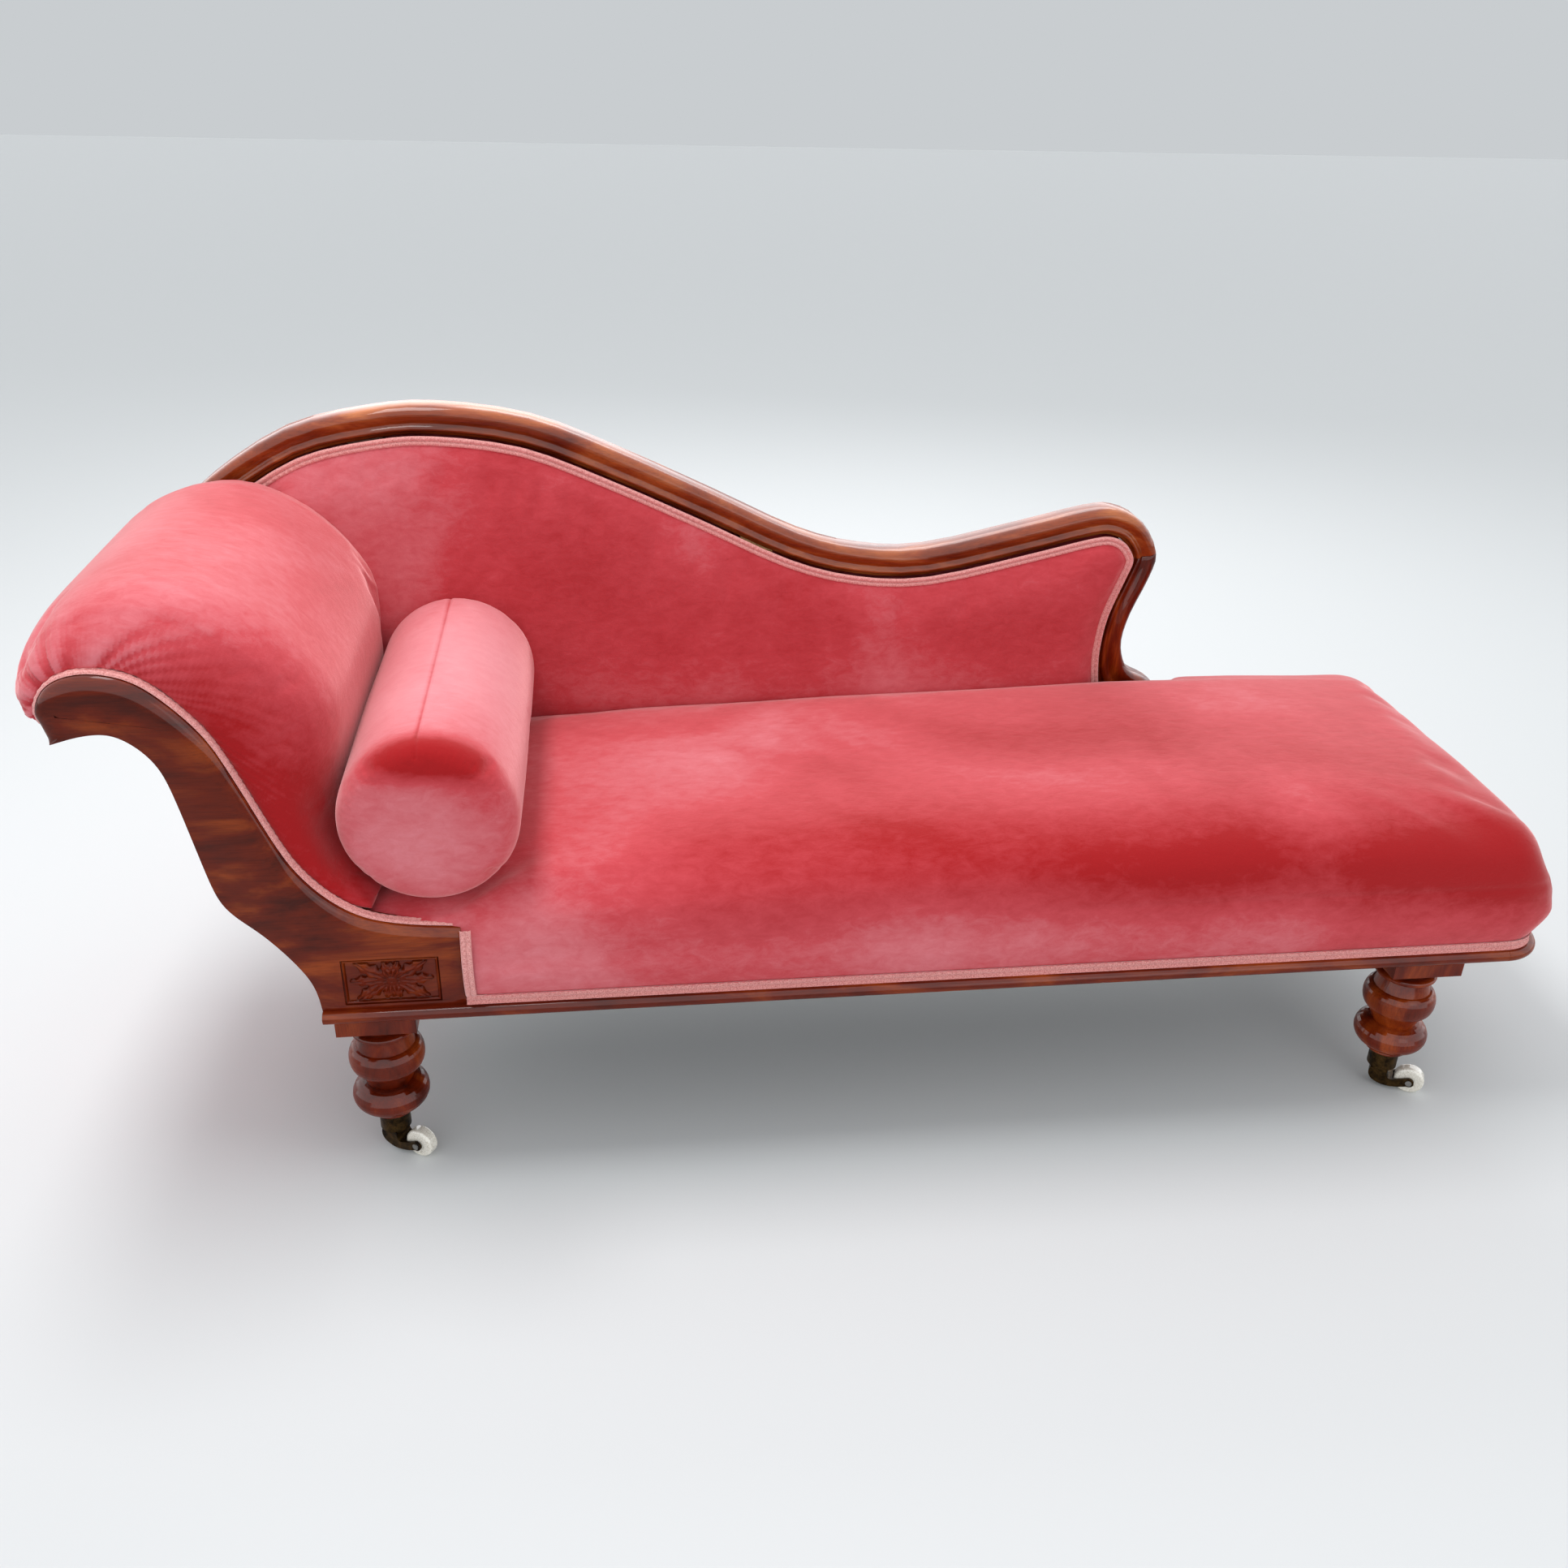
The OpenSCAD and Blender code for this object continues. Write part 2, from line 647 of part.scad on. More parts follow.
module castor_axle(x, y) {
  color("gray")
    translate([x, y, 0])
      rotate([0, 0, castor_angle])
        translate([castor_trail, 0, wheel_r])
          rotate([90, 0, 0]) {
            cylinder(d = axle_d, h = fork_w + 2 * axle_head_h, center = true);
            for (side = [0, 1])
              mirror([0, 0, side])
                translate([0, 0, fork_w / 2])
                  cylinder(d = axle_head_d, h = axle_head_h);
          }
}

// Glazed wheel with rounded edges
module castor_wheel(x, y) {
  color("ivory")
    translate([x, y, 0])
      rotate([0, 0, castor_angle])
        translate([castor_trail, 0, wheel_r])
          rotate([90, 0, 0])
            rotate_extrude()
              polygon([
                [axle_d / 2 + pin_gap, wheel_w / 2], [axle_d / 2 + pin_gap, -wheel_w / 2],
                for (side = [-1, 1])
                  for (a = [0:15:90])
                    let (t = side < 0 ? a : 90 - a)
                    [
                      wheel_r - wheel_edge_r * (1 - sin(t)),
                      side * (wheel_w / 2 - wheel_edge_r * (1 - cos(t)))
                    ]
              ]);
}

module castor_cup_front_head() { castor_cup(leg_xs[0], leg_ys[0]); }
module castor_cup_front_foot() { castor_cup(leg_xs[1], leg_ys[0]); }
module castor_cup_rear_head() { castor_cup(leg_xs[0], leg_ys[1]); }
module castor_cup_rear_foot() { castor_cup(leg_xs[1], leg_ys[1]); }
module castor_horn_front_head() { castor_horn(leg_xs[0], leg_ys[0]); }
module castor_horn_front_foot() { castor_horn(leg_xs[1], leg_ys[0]); }
module castor_horn_rear_head() { castor_horn(leg_xs[0], leg_ys[1]); }
module castor_horn_rear_foot() { castor_horn(leg_xs[1], leg_ys[1]); }
module castor_axle_front_head() { castor_axle(leg_xs[0], leg_ys[0]); }
module castor_axle_front_foot() { castor_axle(leg_xs[1], leg_ys[0]); }
module castor_axle_rear_head() { castor_axle(leg_xs[0], leg_ys[1]); }
module castor_axle_rear_foot() { castor_axle(leg_xs[1], leg_ys[1]); }
module castor_wheel_front_head() { castor_wheel(leg_xs[0], leg_ys[0]); }
module castor_wheel_front_foot() { castor_wheel(leg_xs[1], leg_ys[0]); }
module castor_wheel_rear_head() { castor_wheel(leg_xs[0], leg_ys[1]); }
module castor_wheel_rear_foot() { castor_wheel(leg_xs[1], leg_ys[1]); }

// Room for the square blocks of the legs in the cloths under the frame
module leg_blocks_room() {
  for (x = leg_xs)
    for (y = leg_ys)
      translate([x, y, frame_height])
        cube(leg_block_side * [1, 1, 1] + 2 * fit_gap * [1, 1, 1], center = true);
}

// Jute webs tacked under the rails, in both directions
module seat_webbing() {
  color("peru")
    difference() {
      union() {
        for (y = spring_ys)
          box(
            [head_rail_inner_x - hessian_lap, y - web_w / 2, frame_height - web_t],
            [foot_rail_inner_x + hessian_lap, y + web_w / 2, frame_height]
          );
        for (x = spring_xs)
          box(
            [x - web_w / 2, rail_inner_y - hessian_lap, frame_height - web_t],
            [x + web_w / 2, rail_hessian_y, frame_height]
          );
      }
      leg_blocks_room();
    }
}

// Hourglass springs, each drawn as the thin skin that its wire runs along
module spring(x, y) {
  end_r = spring_d / 2;
  waist_r = end_r * spring_waist_share;
  side = curve([[end_r, 0], [waist_r, spring_height / 2], [end_r, spring_height]], 4);
  translate([x, y, spring_base_z])
    rotate_extrude()
      polygon(concat(side, [for (p = backwards(side)) p - [spring_wire, 0]]));
}

module seat_springs() {
  color("dimgray")
    for (x = spring_xs)
      for (y = spring_ys)
        spring(x, y);
}

module along_seat(outline, from, to) {
  translate([from, 0, 0])
    rotate([90, 0, 90])
      linear_extrude(to - from)
        polygon(outline);
}

// Section of the hessian's rise over the springs, a distance in from its upper side
function spring_rise(d) = [
  [rail_inner_y + d, frame_top], [rail_inner_y + d, frame_top + cloth_t - d],
  [rail_inner_y + hessian_slope + d, hessian_z + cloth_t - d],
  [rear_rail_inner_y - hessian_slope - d, hessian_z + cloth_t - d],
  [rear_rail_inner_y - d, frame_top + cloth_t - d], [rear_rail_inner_y - d, frame_top]
];

// Hessian stretched over the rails and the springs
module seat_hessian() {
  head_x = scroll_upper[head_pad_index * curve_steps][0] + fit_gap;
  color("khaki") {
    difference() {
      union() {
        box([head_x, rail_front_y, frame_top], [scroll_edge_x, rear_rail_inner_y, frame_top + cloth_t]);
        box([scroll_edge_x, rail_front_y, frame_top], [rail_foot_x, rail_hessian_y, frame_top + cloth_t]);
        box([post_foot_x, 0, frame_top], [foot_rail_inner_x, back_y, frame_top + cloth_t]);
        box([foot_rail_inner_x, 0, frame_top], [rail_foot_x, -rail_front_y, frame_top + cloth_t]);
      }
      box(
        [cross_rail_inner_x, rail_inner_y, frame_top - cut_over],
        [foot_rail_inner_x, rear_rail_inner_y, frame_top + cut_over]
      );
    }
    difference() {
      along_seat(spring_rise(0), cross_rail_inner_x, foot_rail_inner_x);
      along_seat(spring_rise(cloth_t), cross_rail_inner_x + cloth_t, foot_rail_inner_x - cloth_t);
      box(
        [cross_rail_inner_x + cloth_t, rail_inner_y + cloth_t, frame_top - cut_over],
        [foot_rail_inner_x - cloth_t, rear_rail_inner_y - cloth_t, frame_top + fit_gap]
      );
    }
  }
}

// Height of the seat's stuffing at a place along it
function seat_height_at(x) = lookup((x - seat_head_x) / seat_run, seat_crown_shares) * seat_rise - fit_gap;

// Half of a section of the stuffing: distance from the middle, height and swell
function seat_side(height) = concat(
  [[-pad_front_y, seat_bottom, 0], [-pad_front_y, moulding_top + gimp_w + fit_gap, 0]],
  [for (s = border_shares)
    [-pad_front_y + s[0] * moulding_overhang, seat_bottom + s[1] * height, s[0]]],
  [for (s = top_shares) [-pad_front_y * (1 - s[0]), seat_bottom + s[1] * height, 0]]
);

// Underside over the frame: it rises a little towards the back, so that it stays off the rail
function under(y) = seat_low + seat_lift * pow((y - rail_front_y) / couch_depth, 2);

// Section over the rails: hollow behind the front border, and cut short where the back stands
function rail_ring(x, back_limit, tuck_y, spring_z) =
  let (
    side = seat_side(seat_height_at(x)),
    near = [rail_inner_y, rail_inner_y + hessian_slope],
    far = [rear_rail_inner_y, rear_rail_inner_y - hessian_slope],
    room = min(side[0][0], back_limit) - tuck_y
  )
  concat(
    [
      [x, near[1], max(under(near[1]), spring_z)], [x, near[0], under(near[0])],
      [x, rail_front_y - fit_gap, seat_low], [x, rail_front_y - fit_gap, seat_bottom]
    ],
    [for (p = side) [x, -p[0], p[1]]],
    [for (p = backwards(side))
      let (
        y = min(p[0], back_limit),
        t = (seat_low + seat_step - p[1]) / (seat_low - seat_bottom),
        tuck = tuck_y + (y - tuck_y) * (1 - tuck_share * t)
      )
      t < 0 ? [x, y, p[1]] : [x, tuck, under(tuck)]],
    [for (s = tuck_end_shares) [x, tuck_y + s * room, under(tuck_y + s * room)]],
    [[x, far[0], under(far[0])], [x, far[1], max(under(far[1]), spring_z)]]
  );

// Section at the foot: share of its turn, and whether the foot rail runs through it
function foot_ring(x, height, narrow, foot, railed) =
  let (
    squeeze = 1 + narrow / pad_front_y,
    swell = foot * (foot_swell + moulding_overhang),
    line = [for (p = seat_side(height)) [x + p[2] * swell, -p[0] * squeeze, p[1]]],
    inner = railed
      ? [
          [x, rail_inner_y + hessian_slope, seat_low], [x, rail_inner_y, seat_low],
          [x, rail_front_y - fit_gap, seat_low], [x, rail_front_y - fit_gap, seat_bottom]
        ]
      : [for (k = [4:-1:1]) [
          x - k * seat_step * narrow / pad_corner_r, rail_front_y * squeeze * (1 - k / 6), seat_bottom
        ]],
    half = concat(inner, line)
  )
  concat(half, [for (p = backwards(half)) [p[0], -p[1], p[2]]]);

module seat_stuffing() {
  spring_z = hessian_z + cloth_t + fit_gap;
  spring_x = cross_rail_inner_x - fit_gap;
  post_x = post_foot_x + fit_gap;
  rail_x = foot_rail_inner_x + fit_gap;
  turn_x = pad_foot_x - pad_corner_r;
  solid_x = rail_foot_x + fit_gap;
  solid_turn = asin((solid_x - turn_x) / pad_corner_r);
  places = [for (s = seat_crown_shares) seat_head_x + s[0] * seat_run];
  function backed(x, z) = rail_ring(x, head_pad_back_y, rear_rail_inner_y, z);
  function open(x) = rail_ring(x, couch_depth, fit_gap - rail_front_y, spring_z);
  ring_points = len(open(rail_x));
  inner_points = 4;
  fan_point = inner_points / 2;
  side_points = len(seat_side(seat_height));
  solid_next = asin((solid_x + seat_step - turn_x) / pad_corner_r);
  function turned(a, railed) = foot_ring(
    turn_x + pad_corner_r * sin(a),
    seat_height_at(turn_x) * (1 - foot_drop_share * (1 - cos(a))),
    pad_corner_r * (1 - cos(a)), sin(a), railed
  );
  loft(concat(
    [for (x = places) if (x < spring_x - 2 * seat_step) backed(x, seat_low)],
    [backed(spring_x - seat_step, seat_low), backed(spring_x, spring_z)],
    [for (x = places) if (x > spring_x + seat_step && x < post_x - seat_step) backed(x, spring_z)],
    [backed(post_x, spring_z), open(post_x + seat_step)],
    [for (x = places) if (x > post_x + 2 * seat_step && x < rail_x - seat_step) open(x)],
    [open(rail_x)],
    [foot_ring(rail_x + seat_step, seat_height_at(rail_x), 0, 0, true)],
    [for (a = [0:turn_angle:90]) if (a < solid_turn - turn_angle / 4) turned(a, true)],
    [turned(solid_turn, true), turned(solid_next, false)],
    [for (a = [0:turn_angle:90]) if (a > solid_next + turn_angle / 4) turned(a, false)]
  ), fans(ring_points, fan_point, side_points, inner_points + side_points + fan_point), strips(ring_points));
}

// Space that the bolster presses into the stuffing and needs to lift out
module bolster_nest() {
  nest_r = bolster_d / 2 + fit_gap;
  trough = [
    for (i = [0:nest_steps]) let (a = 180 + 180 * i / nest_steps)
      [bolster_x + nest_r * cos(a), bolster_axis_z + nest_r * sin(a)]
  ];
  way_out = [[bolster_x + nest_r, couch_height], [bolster_x - nest_r, couch_height]];
  board(concat(trough, way_out), front_y - cut_over, couch_depth + 2 * cut_over);
}

module seat_pad() {
  low = frame_height - cut_over;
  under_scroll = concat(
    [for (p = scroll_upper) if (p[0] > seat_head_x - scroll_thickness) p],
    [[scroll_edge_x, low], [seat_head_x - scroll_thickness, low]]
  );
  color("indianred")
    difference() {
      seat_stuffing();
      board(
        around(under_scroll, gimp_t + fit_gap),
        front_y - cut_over, scroll_thickness + moulding_overhang + cut_over + fit_gap
      );
      board(around(under_scroll, fit_gap), rear_rail_inner_y - fit_gap, rear_rail_thickness);
      bolster_nest();
    }
}

// Dust cloth under the seat, cut round the legs
module base_cloth() {
  color("dimgray")
    difference() {
      box(
        [rail_head_x + base_cloth_inset, rail_front_y + base_cloth_inset, base_cloth_z],
        [rail_foot_x - base_cloth_inset, back_y - base_cloth_inset, base_cloth_z + cloth_t]
      );
      leg_blocks_room();
    }
}

// Braid along the bottom of the seat, round both corners of the foot
module gimp_seat() {
  corner_x = pad_foot_x - pad_corner_r;
  corner_y = pad_back_y - pad_corner_r;
  color("lightpink")
    translate([0, 0, moulding_top]) {
      box([scroll_edge_x + fit_gap, pad_front_y - gimp_t, 0], [corner_x, pad_front_y, gimp_w]);
      box([pad_foot_x, -corner_y, 0], [pad_foot_x + gimp_t, corner_y, gimp_w]);
      box([foot_rail_inner_x + fit_gap, pad_back_y, 0], [corner_x, pad_back_y + gimp_t, gimp_w]);
      for (side = [0, 1])
        mirror([0, side, 0])
          translate([corner_x, corner_y, 0])
            rotate_extrude(angle = 90)
              translate([pad_corner_r, 0])
                square([gimp_t, gimp_w]);
    }
}

// Carved scroll at the front of the head, with its recess for the tablet
scroll_outline = concat(scroll_upper, [[scroll_edge_x, moulding_top]], scroll_lower);
tablet_side = 27;
tablet_foot = 7;
tablet_setback = 1.5;
tablet_recess = tablet_t + tablet_setback;
tablet_x = scroll_edge_x - tablet_side - tablet_w / 2;
tablet_z = moulding_top + tablet_foot + tablet_h / 2;

module front_scroll() {
  color("saddlebrown")
    difference() {
      board(scroll_outline, pad_front_y, scroll_thickness);
      translate([tablet_x, pad_front_y + tablet_recess / 2, tablet_z])
        cube([tablet_w + 2 * fit_gap, tablet_recess, tablet_h + 2 * fit_gap], center = true);
      translate([tablet_x, pad_front_y - cut_over / 2, tablet_z])
        cube([tablet_w + 2 * fit_gap, cut_over, tablet_h + 2 * fit_gap], center = true);
    }
}

module back_scroll() {
  low = frame_top;
  color("burlywood")
    intersection() {
      board(scroll_outline, rear_rail_inner_y, back_scroll_thickness);
      box(
        [-couch_length, rear_rail_inner_y - cut_over, low],
        [couch_length, back_y, couch_height]
      );
    }
}

// Carved tablet: leaves round a small boss, each reaching out towards the border
tablet_leaves = 12;
leaf_plate_t = 3;
leaf_margin = 3;
leaf_w = 11;
boss_d = 11;

module leaf(length, width) {
  r = (length * length / 4 + width * width / 4) / width;
  intersection() {
    translate([length / 2, r - width / 2])
      circle(r = r, $fn = fine_fn);
    translate([length / 2, width / 2 - r])
      circle(r = r, $fn = fine_fn);
  }
}

module carved_tablet() {
  color("sienna")
    translate([tablet_x, pad_front_y + tablet_recess, tablet_z])
      rotate([90, 0, 0]) {
        translate([-tablet_w / 2, -tablet_h / 2, 0])
          cube([tablet_w, tablet_h, leaf_plate_t]);
        cylinder(d = boss_d, h = tablet_t);
        for (i = [0:tablet_leaves - 1]) {
          a = 360 * (i + 0.5) / tablet_leaves;
          room = [tablet_w / 2 - leaf_margin, tablet_h / 2 - leaf_margin];
          reach = min(room[0] / abs(cos(a)), room[1] / abs(sin(a)));
          rotate([0, 0, a])
            linear_extrude(i % 2 == 0 ? tablet_t : (tablet_t + leaf_plate_t) / 2)
              leaf(reach, leaf_w);
        }
      }
}

// Rails across the head, shaped to the line of the scroll
rail_under_web = beside(scroll_upper, -web_t);
top_rail_last = 6 * curve_steps;
top_rail_foot_shares = [[0.31, 0.864], [0.025, 0.864]];
lower_rail_first = 10 * curve_steps;
pad_last = head_pad_index * curve_steps;
head_span = rear_rail_inner_y - scroll_back_y;

module head_top_rail() {
  color("burlywood")
    board(
      concat(
        part_of(rail_under_web, 1, top_rail_last),
        placed(top_rail_foot_shares, scroll_tip_x, moulding_top, scroll_run, scroll_rise)
      ),
      scroll_back_y, head_span
    );
}

module head_lower_rail() {
  top = part_of(rail_under_web, lower_rail_first, pad_last);
  color("burlywood")
    board(
      concat(top, [[top[len(top) - 1][0], frame_top], [top[0][0], frame_top]]),
      scroll_back_y, head_span
    );
}

module head_webbing() {
  first = 2 * curve_steps;
  band = concat(part_of(scroll_upper, first, pad_last), backwards(part_of(rail_under_web, first, pad_last)));
  pitch = head_span / head_web_count;
  color("peru")
    for (i = [0:head_web_count - 1])
      board(band, scroll_back_y + pitch * (i + 0.5) - web_w / 2, web_w);
}

// Stuffing of the head: rings across the couch that swell away from the line of the scroll
head_pad_run = [for (p = curve([for (s = head_pad_shares) [s, 0]])) p[0]];
head_pad_inner = part_of(beside(scroll_upper, fit_gap), 0, pad_last);

function head_ring(y, swell) =
  let (
    line = [for (i = [0:pad_last])
      head_pad_inner[i] + swell * head_stuffing * head_pad_run[i] * left_of(scroll_upper, i)]
  )
  [for (p = concat(backwards(head_pad_inner), line)) [p[0], y, p[1]]];

module head_pad() {
  color("indianred")
    difference() {
      loft(concat(
        [for (s = head_shoulder_shares) head_ring(head_pad_front_y + s[0] * head_shoulder, s[1])],
        [head_ring(head_pad_back_y, 1)]
      ), strips(2 * len(head_pad_inner)), strips(2 * len(head_pad_inner)));
      bolster_nest();
    }
}

// Outer cover of the head, stretched along the hollow of the scroll
module head_outer_cloth() {
  outer = beside(scroll_lower, -fit_gap);
  band = concat(outer, backwards(beside(scroll_lower, -fit_gap - cloth_t)));
  color("indianred") {
    board(band, scroll_back_y, head_span);
    board(band, back_front_y, back_cloth_y - back_front_y);
  }
}

// Braid along the upper edge of the scroll and down its upright edge
module gimp_head() {
  border = [for (p = seat_side(seat_height_at(scroll_edge_x))) [-p[0] - fit_gap, p[1]]];
  border_top = scroll_upper[len(scroll_upper) - 1][1];
  face = [for (p = border) if (p[1] > moulding_top + gimp_w && p[1] < border_top) p];
  color("lightpink") {
    board(
      concat(scroll_upper, backwards(beside(scroll_upper, gimp_t))),
      gimp_front_y, gimp_w
    );
    along_seat(
      concat(
        face,
        backwards([for (p = face) p - [gimp_t, 0]])
      ),
      scroll_edge_x + fit_gap, scroll_edge_x + fit_gap + gimp_w
    );
  }
}

// Moulded show-wood rail: the section runs between an outer and an inner line
module moulded_run(outer, inner) {
  loft([
    for (i = [0:len(outer) - 1]) [
      for (s = rail_section_shares)
        let (p = outer[i] + s[0] * (inner[i] - outer[i]))
        [p[0], back_front_y + s[1] * back_rail_t, p[1]]
    ]
  ], whole(len(rail_section_shares)), whole(len(rail_section_shares)));
}

module back_top_rail() {
  color("sienna")
    moulded_run(part_of(back_outer, 0, ear_station), part_of(back_inner, 0, ear_station));
}

module back_end_post() {
  color("sienna")
    moulded_run(post_outer, post_inner);
}

// Straight pieces of the back's frame, which end under the moulded rail
module upright(x, from_z) {
  color("burlywood")
    board(
      [
        [x, from_z], [x + post_w, from_z],
        for (k = [3:-1:0]) [x + k * post_w / 3, lookup(x + k * post_w / 3, top_rail_low) - fit_gap]
      ],
      post_front_y, post_depth
    );
}

module back_head_post() { upright(head_post_x, frame_top); }
module back_muntin() { upright(muntin_x, bottom_rail_z + bottom_rail_h); }

module back_bottom_rail() {
  color("burlywood")
    box(
      [head_post_x + post_w, post_front_y, bottom_rail_z],
      [bottom_rail_end_x, back_cloth_y, bottom_rail_z + bottom_rail_h]
    );
}

module back_webbing() {
  from_x = head_post_x + post_w / 2;
  pitch = (web_end_x - from_x) / back_web_count;
  color("peru") {
    for (i = [0:back_web_count - 1]) {
      x = from_x + pitch * (i + 0.5) - web_w / 2;
      board(
        [
          [x, back_panel_z], [x + web_w, back_panel_z],
          [x + web_w, lookup(x + web_w, top_rail_low) - 4 * web_t],
          [x, lookup(x, top_rail_low) - 4 * web_t]
        ],
        post_front_y - web_t, web_t
      );
    }
    for (s = back_web_shares)
      let (z = back_panel_z + s * (min([for (p = top_rail_low) p[1]]) - web_w - back_panel_z))
      box([from_x, post_front_y - web_t, z], [web_end_x, post_front_y, z + web_w]);
  }
}

// Edge of the stuffed back: under the moulded rail and down the post to the bottom
panel_edge = concat(
  part_of(back_inner, back_panel_start, ear_station),
  [for (i = [1:len(post_inner) - 1]) if (post_inner[i][1] > back_panel_z + gimp_w) post_inner[i]],
  [[bottom_rail_end_x, back_panel_z]]
);
panel_foot = concat(
  [[scroll_edge_x - head_stuffing / 2, back_panel_z]],
  backwards(part_of(beside(scroll_upper, fit_gap), 5 * curve_steps, pad_last))
);
// Crown of the stuffed back: shares of the width of its rolled edge and of its height
panel_roll = 10;
panel_roll_shares = [[0, 0], [0.35, 0.55], [0.70, 0.85], [1, 1]];

// Direction into the panel, averaged over a few points of the edge on each side so that the
// crown keeps clear of itself at the ear
panel_reach = 5;
panel_last = len(panel_edge) - 1;
panel_inward = [
  for (i = [0:panel_last])
    -leftward(panel_edge[min(i + panel_reach, panel_last)] - panel_edge[max(i - panel_reach, 0)])
];
function panel_line(d) = [for (i = [0:panel_last]) panel_edge[i] + d * panel_inward[i]];
function panel_ring(d, y) = [for (p = concat(panel_line(d), panel_foot)) [p[0], y, p[1]]];

module back_pad() {
  ring_points = len(panel_edge) + len(panel_foot);
  corner = len(panel_edge);
  crest = curve_steps;
  slope = corner + floor(len(panel_foot) / 2);
  cap = concat(
    fan(ring_points, corner, crest, panel_last),
    fan(ring_points, corner, corner + 1, slope),
    [[corner, slope, crest]],
    fan(ring_points, crest, slope, ring_points + crest - 1)
  );
  rolled = gimp_w + fit_gap;
  color("indianred")
    loft(concat(
      [panel_ring(fit_gap, post_front_y - web_t - fit_gap), panel_ring(fit_gap, back_front_y)],
      [for (s = panel_roll_shares) panel_ring(rolled + s[0] * panel_roll, back_front_y - s[1] * back_crown)]
    ), cap, cap);
}

module back_outer_cloth() {
  color("indianred")
    board(
      concat(
        beside(part_of(back_inner, 0, ear_station), -fit_gap),
        [for (i = [1:len(post_inner) - 1]) post_inner[i] - [fit_gap, 0]],
        [for (p = beside(scroll_lower, -fit_gap)) if (p[1] > frame_top) p]
      ),
      back_cloth_y, cloth_t
    );
}

module gimp_back() {
  color("lightpink")
    board(
      concat(beside(panel_edge, -fit_gap), backwards(beside(panel_edge, -gimp_w))),
      back_front_y - gimp_t, gimp_t
    );
}

// Loose bolster with rounded shoulders
module bolster() {
  flat_r = bolster_d / 2 - bolster_shoulder_r;
  color("lightcoral")
    translate([bolster_x, bolster_front_y + bolster_l, bolster_axis_z])
      rotate([90, 0, 0])
        rotate_extrude($fn = fine_fn) {
          square([flat_r, bolster_l]);
          translate([0, bolster_shoulder_r])
            square([bolster_d / 2, bolster_l - 2 * bolster_shoulder_r]);
          for (z = [bolster_shoulder_r, bolster_l - bolster_shoulder_r])
            translate([flat_r, z])
              circle(r = bolster_shoulder_r);
        }
}

front_rail();
rear_rail();
head_rail();
foot_rail();
cross_rail();
corner_blocks();
frame_dowels();
seat_moulding_front();
seat_moulding_foot();
leg_front_head();
leg_front_foot();
leg_rear_head();
leg_rear_foot();
castor_cup_front_head();
castor_cup_front_foot();
castor_cup_rear_head();
castor_cup_rear_foot();
castor_horn_front_head();
castor_horn_front_foot();
castor_horn_rear_head();
castor_horn_rear_foot();
castor_axle_front_head();
castor_axle_front_foot();
castor_axle_rear_head();
castor_axle_rear_foot();
castor_wheel_front_head();
castor_wheel_front_foot();
castor_wheel_rear_head();
castor_wheel_rear_foot();
seat_webbing();
seat_springs();
seat_hessian();
seat_pad();
base_cloth();
gimp_seat();
front_scroll();
back_scroll();
carved_tablet();
head_top_rail();
head_lower_rail();
head_webbing();
head_pad();
head_outer_cloth();
gimp_head();
back_top_rail();
back_end_post();
back_head_post();
back_muntin();
back_bottom_rail();
back_webbing();
back_pad();
back_outer_cloth();
gimp_back();
bolster();
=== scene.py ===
import math

import bmesh
import bpy
import numpy as np
from mathutils import Matrix, Vector, kdtree


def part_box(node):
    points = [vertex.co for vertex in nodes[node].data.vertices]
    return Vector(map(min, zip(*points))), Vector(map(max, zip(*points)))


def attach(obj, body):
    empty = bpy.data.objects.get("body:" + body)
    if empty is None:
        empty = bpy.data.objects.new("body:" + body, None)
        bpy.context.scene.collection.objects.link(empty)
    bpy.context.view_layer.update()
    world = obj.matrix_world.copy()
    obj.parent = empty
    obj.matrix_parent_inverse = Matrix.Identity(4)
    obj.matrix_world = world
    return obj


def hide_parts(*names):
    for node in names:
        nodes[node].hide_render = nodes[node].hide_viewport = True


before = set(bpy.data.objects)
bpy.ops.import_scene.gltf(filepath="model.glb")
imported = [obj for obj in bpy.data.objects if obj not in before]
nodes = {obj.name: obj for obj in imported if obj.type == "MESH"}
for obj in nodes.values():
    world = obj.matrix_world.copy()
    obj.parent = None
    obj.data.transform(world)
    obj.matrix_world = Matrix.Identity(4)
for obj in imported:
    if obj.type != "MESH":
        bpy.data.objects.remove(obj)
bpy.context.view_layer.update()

# Points nearer together than this, in metres, lie in one place
hair = 1e-5
scene = bpy.context.scene
scene.view_settings.view_transform = "Standard"

# Studio. A plain pale floor, soft lamps and the camera, which looks down on the couch
# from standing height, a little from the head end, as the photograph does.


def linear(code):
    shares = [int(code[i:i + 2], 16) / 255 for i in (1, 3, 5)]
    return tuple(c / 12.92 if c < 0.04045 else ((c + 0.055) / 1.055) ** 2.4 for c in shares)


def add_node(material, kind, settings=None, links=None):
    tree = material.node_tree
    node = tree.nodes.new(kind)
    for key, value in (settings or {}).items():
        if isinstance(key, int) or key in node.inputs:
            node.inputs[key].default_value = value
        else:
            setattr(node, key, value)
    for key, socket in (links or {}).items():
        tree.links.new(socket, node.inputs[key])
    return node


def new_material(name, base, roughness, **sockets):
    material = bpy.data.materials.new(name)
    material.use_nodes = True
    shader = material.node_tree.nodes["Principled BSDF"]
    shader.inputs["Base Color"].default_value = (*linear(base), 1)
    shader.inputs["Roughness"].default_value = roughness
    for key, value in sockets.items():
        shader.inputs[key.replace("_", " ")].default_value = value
    return material


